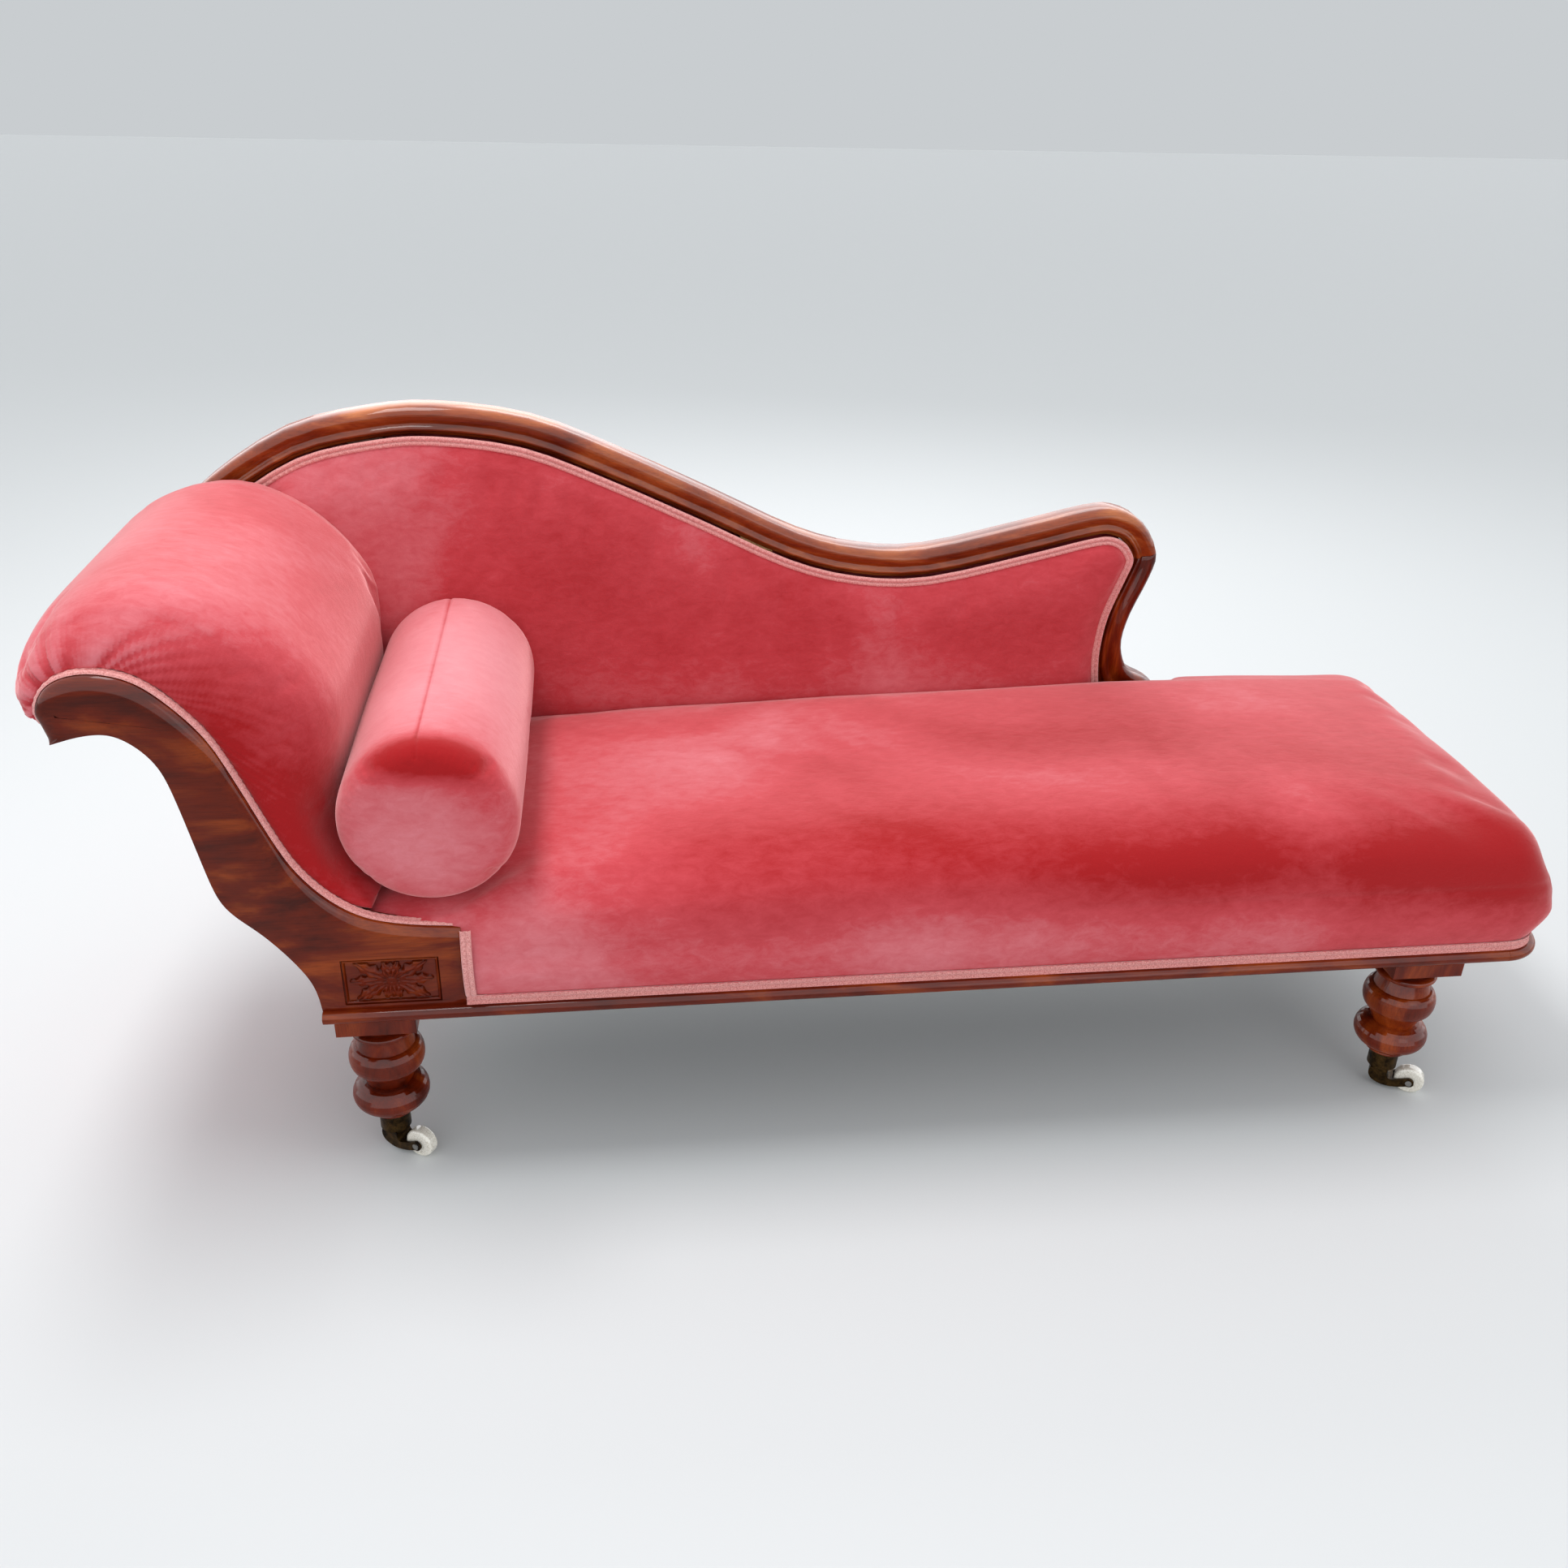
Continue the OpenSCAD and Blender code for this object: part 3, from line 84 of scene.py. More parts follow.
eye = Vector((-0.2795, -1.6646, 1.2344))
pitch, yaw, roll = 0.47498, 0.13101, 0.02412
ahead = Vector((math.sin(yaw) * math.cos(pitch), math.cos(yaw) * math.cos(pitch), -math.sin(pitch)))
level = Vector((math.cos(yaw), -math.sin(yaw), 0))
upward = level.cross(ahead)
right = level * math.cos(roll) + upward * math.sin(roll)
top = upward * math.cos(roll) - level * math.sin(roll)
camera_data = bpy.data.cameras.new("camera")
camera_data.sensor_width = 36
camera_data.lens = 32.885
camera = bpy.data.objects.new("camera", camera_data)
turn = Matrix((right, top, -ahead)).transposed().to_4x4()
camera.matrix_world = Matrix.Translation(eye) @ turn
scene.collection.objects.link(camera)
scene.camera = camera

bpy.ops.object.select_all(action="DESELECT")
bpy.ops.mesh.primitive_plane_add(size=40, location=(0, 0, 0))
floor = bpy.context.object
floor.name = "studio_floor"
pale_floor = new_material("pale_floor_paint", "#E1E3E4", 0.9)
floor_shader = pale_floor.node_tree.nodes["Principled BSDF"]
floor_shader.inputs["Specular IOR Level"].default_value = 0.05
floor.data.materials.append(pale_floor)

# The room lights the couch softly. The polish mirrors a brighter sky, and the camera sees plain grey.
world = bpy.data.worlds.new("soft_room")
world.use_nodes = True
scene.world = world
room = world.node_tree.nodes["Background"]
room.inputs["Color"].default_value = (*linear("#F1F4F6"), 1)
room.inputs["Strength"].default_value = 0.85
seen = add_node(world, "ShaderNodeBackground", {"Color": (*linear("#C9CDD0"), 1), "Strength": 1.0})
path = add_node(world, "ShaderNodeLightPath")
sky = add_node(world, "ShaderNodeBackground", {"Color": (*linear("#F4F7FA"), 1), "Strength": 3.0})
shining = add_node(
    world, "ShaderNodeMixShader", {},
    {0: path.outputs["Is Glossy Ray"], 1: room.outputs[0], 2: sky.outputs[0]})
mixed = add_node(
    world, "ShaderNodeMixShader", {},
    {0: path.outputs["Is Camera Ray"], 1: shining.outputs[0], 2: seen.outputs[0]})
world.node_tree.links.new(mixed.outputs[0], world.node_tree.nodes["World Output"].inputs["Surface"])


def lamp(name, place, aim, size, power):
    """A soft rectangular lamp that shines from its place at its aim."""
    light = bpy.data.lights.new(name, "AREA")
    light.shape = "RECTANGLE"
    light.size, light.size_y = size
    light.energy = power
    holder = bpy.data.objects.new(name, light)
    way = Vector(aim) - Vector(place)
    holder.matrix_world = Matrix.Translation(place) @ way.to_track_quat("-Z", "Y").to_matrix().to_4x4()
    scene.collection.objects.link(holder)


lamp("key_overhead", place=(-0.9, 0.2, 3.0), aim=(0, 0.1, 0.3), size=(1.8, 0.7), power=45)
lamp("fill_front", place=(1.6, -3.0, 1.7), aim=(0.3, 0, 0.4), size=(1.6, 1.2), power=8)
lamp("rim_behind", place=(0.6, 2.6, 2.2), aim=(0, 0.1, 0.5), size=(2.4, 0.8), power=22)

# Seat frame. Sawn beech rails, doweled at their joints, with glued blocks in the corners.
# The wood is bare and pale, with short dark flecks along the grain.


def dress(node, material):
    for place in nodes[node].material_slots:
        place.material = material


def bare_wood(name, dark, light, along, fleck_mm):
    """Sawn wood with its grain along one axis."""
    material = new_material(name, light, 0.7)
    shader = material.node_tree.nodes["Principled BSDF"]
    coords = add_node(material, "ShaderNodeTexCoord")
    run = [1.0, 1.0, 1.0]
    run[along] = 0.08
    drawn_out = add_node(
        material, "ShaderNodeMapping", {"Scale": run}, {"Vector": coords.outputs["Object"]})
    grain = add_node(
        material, "ShaderNodeTexNoise", {"Scale": 1000 / fleck_mm, "Detail": 4, "Roughness": 0.65},
        {"Vector": drawn_out.outputs[0]})
    colours = add_node(material, "ShaderNodeValToRGB", {}, {"Fac": grain.outputs["Fac"]})
    colours.color_ramp.elements[0].position = 0.32
    colours.color_ramp.elements[0].color = (*linear(dark), 1)
    colours.color_ramp.elements[1].position = 0.58
    colours.color_ramp.elements[1].color = (*linear(light), 1)
    saw_marks = add_node(
        material, "ShaderNodeBump", {"Strength": 0.3, "Distance": 0.0004},
        {"Height": grain.outputs["Fac"]})
    material.node_tree.links.new(colours.outputs["Color"], shader.inputs["Base Color"])
    material.node_tree.links.new(saw_marks.outputs[0], shader.inputs["Normal"])
    return material


beech_along = bare_wood("sawn_beech", "#9C7448", "#C79F6C", along=0, fleck_mm=4)
beech_across = bare_wood("sawn_beech_across", "#9C7448", "#C79F6C", along=1, fleck_mm=4)
beech_upright = bare_wood("sawn_beech_upright", "#9C7448", "#C79F6C", along=2, fleck_mm=4)
for node in ("front_rail", "back_bottom_rail"):
    dress(node, beech_along)
for node in ("foot_rail", "cross_rail", "frame_dowels", "head_top_rail"):
    dress(node, beech_across)
for node in ("corner_blocks", "back_muntin"):
    dress(node, beech_upright)
# What the covers leave bare behind the couch is stained to go with the show wood
for node in ("rear_rail", "back_scroll"):
    dress(node, bare_wood("stained_beech", "#2B1007", "#4E2310", along=0, fleck_mm=4))
for node in ("head_rail", "head_lower_rail"):
    dress(node, bare_wood("stained_beech_across", "#2B1007", "#4E2310", along=1, fleck_mm=4))
dress("back_head_post", bare_wood("stained_beech_upright", "#2B1007", "#4E2310", along=2, fleck_mm=4))

# Legs and other show wood. Mahogany, turned or moulded, stained a deep red brown and French
# polished: dark, with a warm figure, fine open pores and a clear shine worn in places.


def polished_wood(name, dark, mid, light, along, figure_mm, pore_mm, coat):
    """Wood with its grain along one axis, painted darker as painted shade and made duller where a "hollow"
    is marked.
    """
    material = new_material(name, mid, 0.3, Coat_Weight=coat, Coat_Roughness=0.06)
    shader = material.node_tree.nodes["Principled BSDF"]
    shader.inputs["Specular IOR Level"].default_value = 0.03
    coords = add_node(material, "ShaderNodeTexCoord")
    run = [1.0, 1.0, 1.0]
    run[along] = 0.3
    drawn_out = add_node(
        material, "ShaderNodeMapping", {"Scale": run}, {"Vector": coords.outputs["Object"]})
    figure = add_node(
        material, "ShaderNodeTexNoise",
        {"Scale": 1000 / figure_mm, "Detail": 5, "Roughness": 0.55, "Distortion": 1.4},
        {"Vector": drawn_out.outputs[0]})
    colours = add_node(material, "ShaderNodeValToRGB", {}, {"Fac": figure.outputs["Fac"]})
    colours.color_ramp.elements[0].position = 0.28
    colours.color_ramp.elements[0].color = (*linear(dark), 1)
    colours.color_ramp.elements[1].position = 0.74
    colours.color_ramp.elements[1].color = (*linear(light), 1)
    middle = colours.color_ramp.elements.new(0.5)
    middle.color = (*linear(mid), 1)
    long_run = [1.0, 1.0, 1.0]
    long_run[along] = 0.05
    threads = add_node(
        material, "ShaderNodeMapping", {"Scale": long_run}, {"Vector": coords.outputs["Object"]})
    pores = add_node(
        material, "ShaderNodeTexNoise", {"Scale": 1000 / pore_mm, "Detail": 2, "Roughness": 0.6},
        {"Vector": threads.outputs[0]})
    fleck = add_node(
        material, "ShaderNodeMapRange",
        {"From Min": 0.34, "From Max": 0.55, "To Min": 0.78, "To Max": 1.0},
        {"Value": pores.outputs["Fac"]})
    flecked = add_node(
        material, "ShaderNodeVectorMath", {"operation": "SCALE"},
        {0: colours.outputs["Color"], "Scale": fleck.outputs[0]})
    sunk = add_node(material, "ShaderNodeAttribute", {"attribute_name": "hollow"})
    # Painted shade: the colour is darkened where the "hollow" mark is high
    hollow_shade = add_node(
        material, "ShaderNodeMapRange", {"To Min": 1.0, "To Max": 0.3}, {"Value": sunk.outputs["Fac"]})
    hollow_shaded_colour = add_node(
        material, "ShaderNodeVectorMath", {"operation": "SCALE"},
        {0: flecked.outputs[0], "Scale": hollow_shade.outputs[0]})
    rubbed = add_node(
        material, "ShaderNodeTexNoise", {"Scale": 9, "Detail": 3}, {"Vector": coords.outputs["Object"]})
    shine = add_node(
        material, "ShaderNodeMapRange", {"From Min": 0.3, "From Max": 0.7, "To Min": 0.24, "To Max": 0.42},
        {"Value": rubbed.outputs["Fac"]})
    dulled = add_node(
        material, "ShaderNodeMath", {"operation": "MULTIPLY_ADD", 1: 0.4},
        {0: sunk.outputs["Fac"], 2: shine.outputs[0]})
    open_pores = add_node(
        material, "ShaderNodeBump", {"Strength": 0.08, "Distance": 0.0003},
        {"Height": pores.outputs["Fac"]})
    links = material.node_tree.links
    links.new(hollow_shaded_colour.outputs[0], shader.inputs["Base Color"])
    links.new(dulled.outputs[0], shader.inputs["Roughness"])
    links.new(open_pores.outputs[0], shader.inputs["Normal"])
    return material


rail_mahogany = polished_wood(
    "french_polished_mahogany", "#360B04", "#6A1D05", "#A64A16",
    along=0, figure_mm=70, pore_mm=1.6, coat=0.36)
upright_mahogany = polished_wood(
    "upright_mahogany", "#3A0C04", "#702006", "#AA4A18",
    along=2, figure_mm=60, pore_mm=1.6, coat=0.4)
# The top rail is painted paler, a painted reflection of the bright sky, and the carved tablet shines less
# than the rest
paled_rail_mahogany = polished_wood(
    "rail_mahogany_painted_reflection", "#5A1A08", "#8E3C16", "#BE6A34",
    along=0, figure_mm=70, pore_mm=1.6, coat=0.45)
carved_mahogany = polished_wood(
    "carved_mahogany", "#360B04", "#6A1D05", "#A64A16",
    along=0, figure_mm=70, pore_mm=1.6, coat=0.14)
for node in nodes:
    if node.startswith("leg_"):
        dress(node, upright_mahogany)

# Castors. Cast brass cups and horns gone dark with age, steel axles, and wheels of white
# glazed ceramic with a fine grey craze in the glaze.
aged_brass = new_material("aged_brass", "#6B5433", 0.42, Metallic=1.0)
shader = aged_brass.node_tree.nodes["Principled BSDF"]
coords = add_node(aged_brass, "ShaderNodeTexCoord")
tarnish = add_node(
    aged_brass, "ShaderNodeTexNoise", {"Scale": 90, "Detail": 5, "Roughness": 0.7},
    {"Vector": coords.outputs["Object"]})
patches = add_node(aged_brass, "ShaderNodeValToRGB", {}, {"Fac": tarnish.outputs["Fac"]})
patches.color_ramp.elements[0].position = 0.38
patches.color_ramp.elements[0].color = (*linear("#17110C"), 1)
patches.color_ramp.elements[1].position = 0.78
patches.color_ramp.elements[1].color = (*linear("#5C4424"), 1)
dullness = add_node(
    aged_brass, "ShaderNodeMapRange", {"To Min": 0.62, "To Max": 0.3}, {"Value": tarnish.outputs["Fac"]})
pitting = add_node(
    aged_brass, "ShaderNodeBump", {"Strength": 0.2, "Distance": 0.0003}, {"Height": tarnish.outputs["Fac"]})
aged_brass.node_tree.links.new(patches.outputs["Color"], shader.inputs["Base Color"])
aged_brass.node_tree.links.new(dullness.outputs[0], shader.inputs["Roughness"])
aged_brass.node_tree.links.new(pitting.outputs[0], shader.inputs["Normal"])

turned_steel = new_material("turned_steel", "#8D8B88", 0.35, Metallic=1.0)
shader = turned_steel.node_tree.nodes["Principled BSDF"]
coords = add_node(turned_steel, "ShaderNodeTexCoord")
lathe_marks = add_node(
    turned_steel, "ShaderNodeTexNoise", {"Scale": 700, "Detail": 2}, {"Vector": coords.outputs["Object"]})
marks = add_node(
    turned_steel, "ShaderNodeMapRange", {"To Min": 0.25, "To Max": 0.5},
    {"Value": lathe_marks.outputs["Fac"]})
turned_steel.node_tree.links.new(marks.outputs[0], shader.inputs["Roughness"])

white_glaze = new_material("white_glaze", "#FBF6EA", 0.12, Coat_Weight=0.5, Coat_Roughness=0.04)
shader = white_glaze.node_tree.nodes["Principled BSDF"]
coords = add_node(white_glaze, "ShaderNodeTexCoord")
craze = add_node(
    white_glaze, "ShaderNodeTexVoronoi", {"feature": "DISTANCE_TO_EDGE", "Scale": 260},
    {"Vector": coords.outputs["Object"]})
craze_lines = add_node(white_glaze, "ShaderNodeValToRGB", {}, {"Fac": craze.outputs["Distance"]})
craze_lines.color_ramp.elements[0].color = (*linear("#CFC6B4"), 1)
craze_lines.color_ramp.elements[1].position = 0.06
craze_lines.color_ramp.elements[1].color = (*linear("#FBF6EA"), 1)
white_glaze.node_tree.links.new(craze_lines.outputs["Color"], shader.inputs["Base Color"])

for node in nodes:
    if node.startswith(("castor_cup", "castor_horn")):
        dress(node, aged_brass)
    if node.startswith("castor_axle"):
        dress(node, turned_steel)
    if node.startswith("castor_wheel"):
        dress(node, white_glaze)
        rounded = nodes[node].modifiers.new("rounded_rims", "BEVEL")
        rounded.width = 0.0035
        rounded.segments = 4
        rounded.angle_limit = math.radians(50)
        rounded.harden_normals = True

# Springing and the cloths under it. Jute webs and hessian in a plain weave, drawn steel wire,
# and a black dust cloth tacked under the rails.


def woven(name, dark, light, thread_mm):
    """A plain weave of threads that run along X and Y."""
    material = new_material(name, light, 0.9)
    shader = material.node_tree.nodes["Principled BSDF"]
    coords = add_node(material, "ShaderNodeTexCoord")
    heights = []
    for way in ("X", "Y"):
        threads = add_node(
            material, "ShaderNodeTexWave",
            {"bands_direction": way, "Scale": 1000 / thread_mm / 20, "Distortion": 1.2, "Detail": 1},
            {"Vector": coords.outputs["Object"]})
        heights.append(threads.outputs["Fac"])
    weave = add_node(material, "ShaderNodeMath", {"operation": "MULTIPLY"}, {0: heights[0], 1: heights[1]})
    colours = add_node(material, "ShaderNodeValToRGB", {}, {"Fac": weave.outputs[0]})
    colours.color_ramp.elements[0].color = (*linear(dark), 1)
    colours.color_ramp.elements[1].position = 0.5
    colours.color_ramp.elements[1].color = (*linear(light), 1)
    relief = add_node(
        material, "ShaderNodeBump", {"Strength": 0.5, "Distance": thread_mm / 4000},
        {"Height": weave.outputs[0]})
    material.node_tree.links.new(colours.outputs["Color"], shader.inputs["Base Color"])
    material.node_tree.links.new(relief.outputs[0], shader.inputs["Normal"])
    return material


jute = woven("jute_web", "#5C4426", "#A98A5B", thread_mm=2.4)
hessian = woven("hessian", "#6B5534", "#B39A6C", thread_mm=1.8)
dust_cloth = woven("black_dust_cloth", "#0B0B0C", "#232325", thread_mm=1.5)
for node in ("seat_webbing", "head_webbing", "back_webbing"):
    dress(node, jute)
dress("seat_springs", turned_steel)

# Moulded rail under the seat. A thin mahogany strip with a rounded nose, which runs along the
# front and round the foot and is glued and pinned under the seat rails.


def pick(piece):
    bpy.ops.object.select_all(action="DESELECT")
    piece.select_set(True)
    bpy.context.view_layer.objects.active = piece


def copy_of(node, name, material):
    """A copy of a CAD node's mesh that stands in for the node, with shared points joined."""
    mesh = nodes[node].data.copy()
    mesh.transform(nodes[node].matrix_world)
    shape = bmesh.new()
    shape.from_mesh(mesh)
    bmesh.ops.remove_doubles(shape, verts=shape.verts, dist=2e-5)
    shape.to_mesh(mesh)
    shape.free()
    mesh.materials.clear()
    mesh.materials.append(material)
    piece = bpy.data.objects.new(name, mesh)
    scene.collection.objects.link(piece)
    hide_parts(node)
    return piece


def show_wood(node, name, material, edge, rounds):
    """A moulding from the CAD with its edges rounded."""
    piece = copy_of(node, name, material)
    pick(piece)
    bpy.ops.object.mode_set(mode="EDIT")
    bpy.ops.mesh.select_all(action="SELECT")
    bpy.ops.mesh.tris_convert_to_quads()
    bpy.ops.object.mode_set(mode="OBJECT")
    softened = piece.modifiers.new("softened", "BEVEL")
    softened.width = edge
    softened.segments = rounds
    softened.angle_limit = math.radians(40)
    bpy.ops.object.modifier_apply(modifier="softened")
    bpy.ops.object.shade_smooth_by_angle(angle=math.radians(38))
    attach(piece, "couch")
    return piece


nose_r, nose_rounds = 0.0072, 6
show_wood("seat_moulding_front", "moulded_rail_front", rail_mahogany, nose_r, nose_rounds)
show_wood("seat_moulding_foot", "moulded_rail_foot", rail_mahogany, nose_r, nose_rounds)

# Seat. Horsehair stuffing over the springs, under cotton velvet that is drawn down over a
# firm front edge and tacked along the rail. The velvet is laid lighter and darker in patches,
# partly as brushed nap and partly as painted light and shade.


def nap(name, deep, mid, bright, palest, patch_mm):
    """Velvet, from its darkest to its palest lay, with the patches of brushed nap and painted light and
    shade that brush_nap_and_paint_light() adds.
    """
    material = new_material(name, mid, 0.85, Sheen_Weight=1.0, Sheen_Roughness=0.42)
    shader = material.node_tree.nodes["Principled BSDF"]
    shader.inputs["Sheen Tint"].default_value = (*linear("#FFC4C4"), 1)
    shader.inputs["Specular IOR Level"].default_value = 0.04
    coords = add_node(material, "ShaderNodeTexCoord")
    brushed = add_node(
        material, "ShaderNodeTexNoise",
        {"Scale": 1000 / patch_mm, "Detail": 3, "Roughness": 0.5, "Distortion": 0.7},
        {"Vector": coords.outputs["Object"]})
    drawn_out = add_node(
        material, "ShaderNodeMapping", {"Scale": (0.55, 1, 1), "Rotation": (0, 0, 0.5)},
        {"Vector": coords.outputs["Object"]})
    strokes = add_node(
        material, "ShaderNodeTexNoise", {"Scale": 80, "Detail": 5, "Roughness": 0.7, "Distortion": 0.4},
        {"Vector": drawn_out.outputs[0]})
    streaks = add_node(
        material, "ShaderNodeMapRange",
        {"From Min": 0.25, "From Max": 0.75, "To Min": 0.035, "To Max": 0.215},
        {"Value": strokes.outputs["Fac"]})
    mottled = add_node(
        material, "ShaderNodeMath", {"operation": "MULTIPLY_ADD", 1: 0.75},
        {0: brushed.outputs["Fac"], 2: streaks.outputs[0]})
    # The nap attribute holds brushed nap and painted light and shade
    nap_and_painted_light = add_node(material, "ShaderNodeAttribute", {"attribute_name": "nap"})
    lay = add_node(material, "ShaderNodeMath", {"operation": "ADD"},
                   {0: mottled.outputs[0], 1: nap_and_painted_light.outputs["Fac"]})
    in_ramp = add_node(material, "ShaderNodeMapRange", {"From Max": 1.3}, {"Value": lay.outputs[0]})
    colours = add_node(material, "ShaderNodeValToRGB", {}, {"Fac": in_ramp.outputs[0]})
    colours.color_ramp.elements[0].position = 0.12
    colours.color_ramp.elements[0].color = (*linear(deep), 1)
    colours.color_ramp.elements[1].position = 0.95
    colours.color_ramp.elements[1].color = (*linear(palest), 1)
    for share, colour in ((0.385, mid), (0.645, bright)):
        colours.color_ramp.elements.new(share).color = (*linear(colour), 1)
    tufts = add_node(
        material, "ShaderNodeTexNoise", {"Scale": 900, "Detail": 2, "Roughness": 0.6},
        {"Vector": coords.outputs["Object"]})
    pile = add_node(
        material, "ShaderNodeBump", {"Strength": 0.35, "Distance": 0.0006}, {"Height": tufts.outputs["Fac"]})
    soft_dents = add_node(
        material, "ShaderNodeBump", {"Strength": 0.22, "Distance": 0.003},
        {"Height": strokes.outputs["Fac"], "Normal": pile.outputs[0]})
    links = material.node_tree.links
    links.new(colours.outputs["Color"], shader.inputs["Base Color"])
    links.new(soft_dents.outputs[0], shader.inputs["Normal"])
    return material


velvet = nap("cotton_velvet", "#A81C20", "#CB4A52", "#E1848C", "#F2A8B0", patch_mm=300)


def points_of(piece):
    flat = np.empty(len(piece.data.vertices) * 3)
    piece.data.vertices.foreach_get("co", flat)
    return flat.reshape(-1, 3)


def normals_of(piece):
    flat = np.empty(len(piece.data.vertices) * 3)
    piece.data.vertices.foreach_get("normal", flat)
    return flat.reshape(-1, 3)


def move_points(piece, points):
    piece.data.vertices.foreach_set("co", points.ravel())
    piece.data.update()


def stuffed(node, name, cell, rounds):
    """A CAD cushion in a fine mesh of even cells, with its edges smoothed."""
    piece = copy_of(node, name, velvet)
    pick(piece)
    piece.data.remesh_voxel_size = cell
    bpy.ops.object.voxel_remesh()
    shape = bmesh.new()
    shape.from_mesh(piece.data)
    for _ in range(rounds):
        bmesh.ops.smooth_vert(
            shape, verts=shape.verts, factor=0.5, use_axis_x=True, use_axis_y=True, use_axis_z=True)
    shape.to_mesh(piece.data)
    shape.free()
    return piece


def swell(piece, free, pressure, cap, slack):
    """Blows the stuffing out under its cover. A point moves by its free share of the cap at most."""
    frames = 20
    rest = points_of(piece)
    group = piece.vertex_groups.new(name="held")
    group.add([int(i) for i in np.nonzero(free <= 0)[0]], 1.0, "REPLACE")
    cloth = piece.modifiers.new("cloth", "CLOTH")
    cloth.settings.quality = 4
    cloth.settings.mass = 0.3
    cloth.settings.tension_stiffness = 12
    cloth.settings.compression_stiffness = 12
    cloth.settings.shear_stiffness = 4
    cloth.settings.bending_stiffness = 0.4
    cloth.settings.use_pressure = True
    cloth.settings.uniform_pressure_force = pressure
    cloth.settings.shrink_min = -slack
    cloth.settings.vertex_group_mass = "held"
    cloth.settings.effector_weights.gravity = 0
    cloth.point_cache.frame_end = frames
    for step in range(1, frames + 1):
        scene.frame_set(step)
    shaped = piece.evaluated_get(bpy.context.evaluated_depsgraph_get())
    moved = points_of(shaped) - rest
    far = np.maximum(np.linalg.norm(moved, axis=1), 1e-9)
    moved *= (free * cap * np.tanh(far / cap) / far)[:, None]
    piece.modifiers.remove(cloth)
    piece.vertex_groups.remove(group)
    scene.frame_set(1)
    move_points(piece, rest + moved)


def refine(piece):
    subdivided = piece.modifiers.new("finer", "SUBSURF")
    subdivided.levels = subdivided.render_levels = 1
    pick(piece)
    bpy.ops.object.modifier_apply(modifier="finer")
    bpy.ops.object.shade_smooth()


def brush_nap_and_paint_light(piece, patches, start=0.0):
    """Lays the velvet lighter or darker in soft patches, partly as brushed nap and partly as painted light
    and shade: the centre, radii and strength of each.
    """
    points = points_of(piece)
    amount = np.zeros(len(points)) + start
    for centre, radii, strength in patches:
        away = (points - np.array(centre)) / np.array(radii)
        amount += strength * np.exp(-0.5 * (away ** 2).sum(axis=1))
    layer = piece.data.attributes.new("nap", "FLOAT", "POINT")
    layer.data.foreach_set("value", amount)


seat = stuffed("seat_pad", "seat_cushioning", cell=0.010, rounds=6)
place = points_of(seat)
facing = normals_of(seat)
ease_run, tacked_z, back_y, head_x, under_turn = 0.03, 0.262, 0.222, -0.54, 0.3
free = np.clip((place[:, 2] - tacked_z) / ease_run, 0, 1) * np.clip((back_y - place[:, 1]) / ease_run, 0, 1)
free *= np.clip((place[:, 0] - head_x) / ease_run, 0, 1) * np.clip(facing[:, 2] / under_turn + 1, 0, 1)
swell(seat, free, pressure=3.0, cap=0.008, slack=0.01)
refine(seat)
# Where people sit, the stuffing has packed into a fold along the front edge
place = points_of(seat)
facing = normals_of(seat)
fold_z, fold_half, fold_deep = 0.333, 0.005, 0.0016
fold_start, fold_run, facing_front = 0.1, 0.4, -0.5
fold = fold_deep * np.exp(-((place[:, 2] - fold_z) / fold_half) ** 2)
fold *= np.clip((place[:, 0] - fold_start) / fold_run, 0, 1) * (facing[:, 1] < facing_front)
place[:, 1] += fold
dip_x, dip_long, dip_wide, dip_deep, facing_up = 0.1, 0.42, 0.15, 0.006, 0.3
sat_in = dip_deep * np.exp(-((place[:, 0] - dip_x) / dip_long) ** 2 - (place[:, 1] / dip_wide) ** 2)
place[:, 2] -= sat_in * (facing[:, 2] > facing_up)
# The head end is pushed under the head roll
tuck_x, tuck_run, tuck_in = -0.45, 0.03, 0.010
place[:, 0] -= tuck_in * np.clip((tuck_x - place[:, 0]) / tuck_run, 0, 1)
move_points(seat, place)
# Painted light and shade with the nap: darker along the crown of the front edge and on the near part of the
# top, lighter on the lower front border and further back
brush_nap_and_paint_light(seat, [
    ((0.5, -0.25, 0.38), (0.4, 0.06, 0.03), -0.3),
    ((0.0, -0.2, 0.41), (0.12, 0.05, 0.04), -0.22),
    ((0.3, 0.0, 0.42), (0.2, 0.05, 0.03), -0.16),
    ((0.4, -0.28, 0.29), (0.7, 0.03, 0.025), 0.12),
    ((0.78, 0.05, 0.42), (0.14, 0.2, 0.04), 0.02),
    ((-0.12, 0.05, 0.42), (0.1, 0.12, 0.04), 0.16),
    ((-0.3, -0.26, 0.34), (0.14, 0.06, 0.08), 0.14),
    ((0.86, -0.25, 0.34), (0.08, 0.08, 0.06), -0.28),
    ((0.66, -0.28, 0.33), (0.2, 0.05, 0.05), -0.16),
])
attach(seat, "couch")

# Front scroll. One thick board of figured mahogany, sawn to an S, with a broad thumb-moulding
# worked along its upper edge and a small carved tablet let in over the leg.


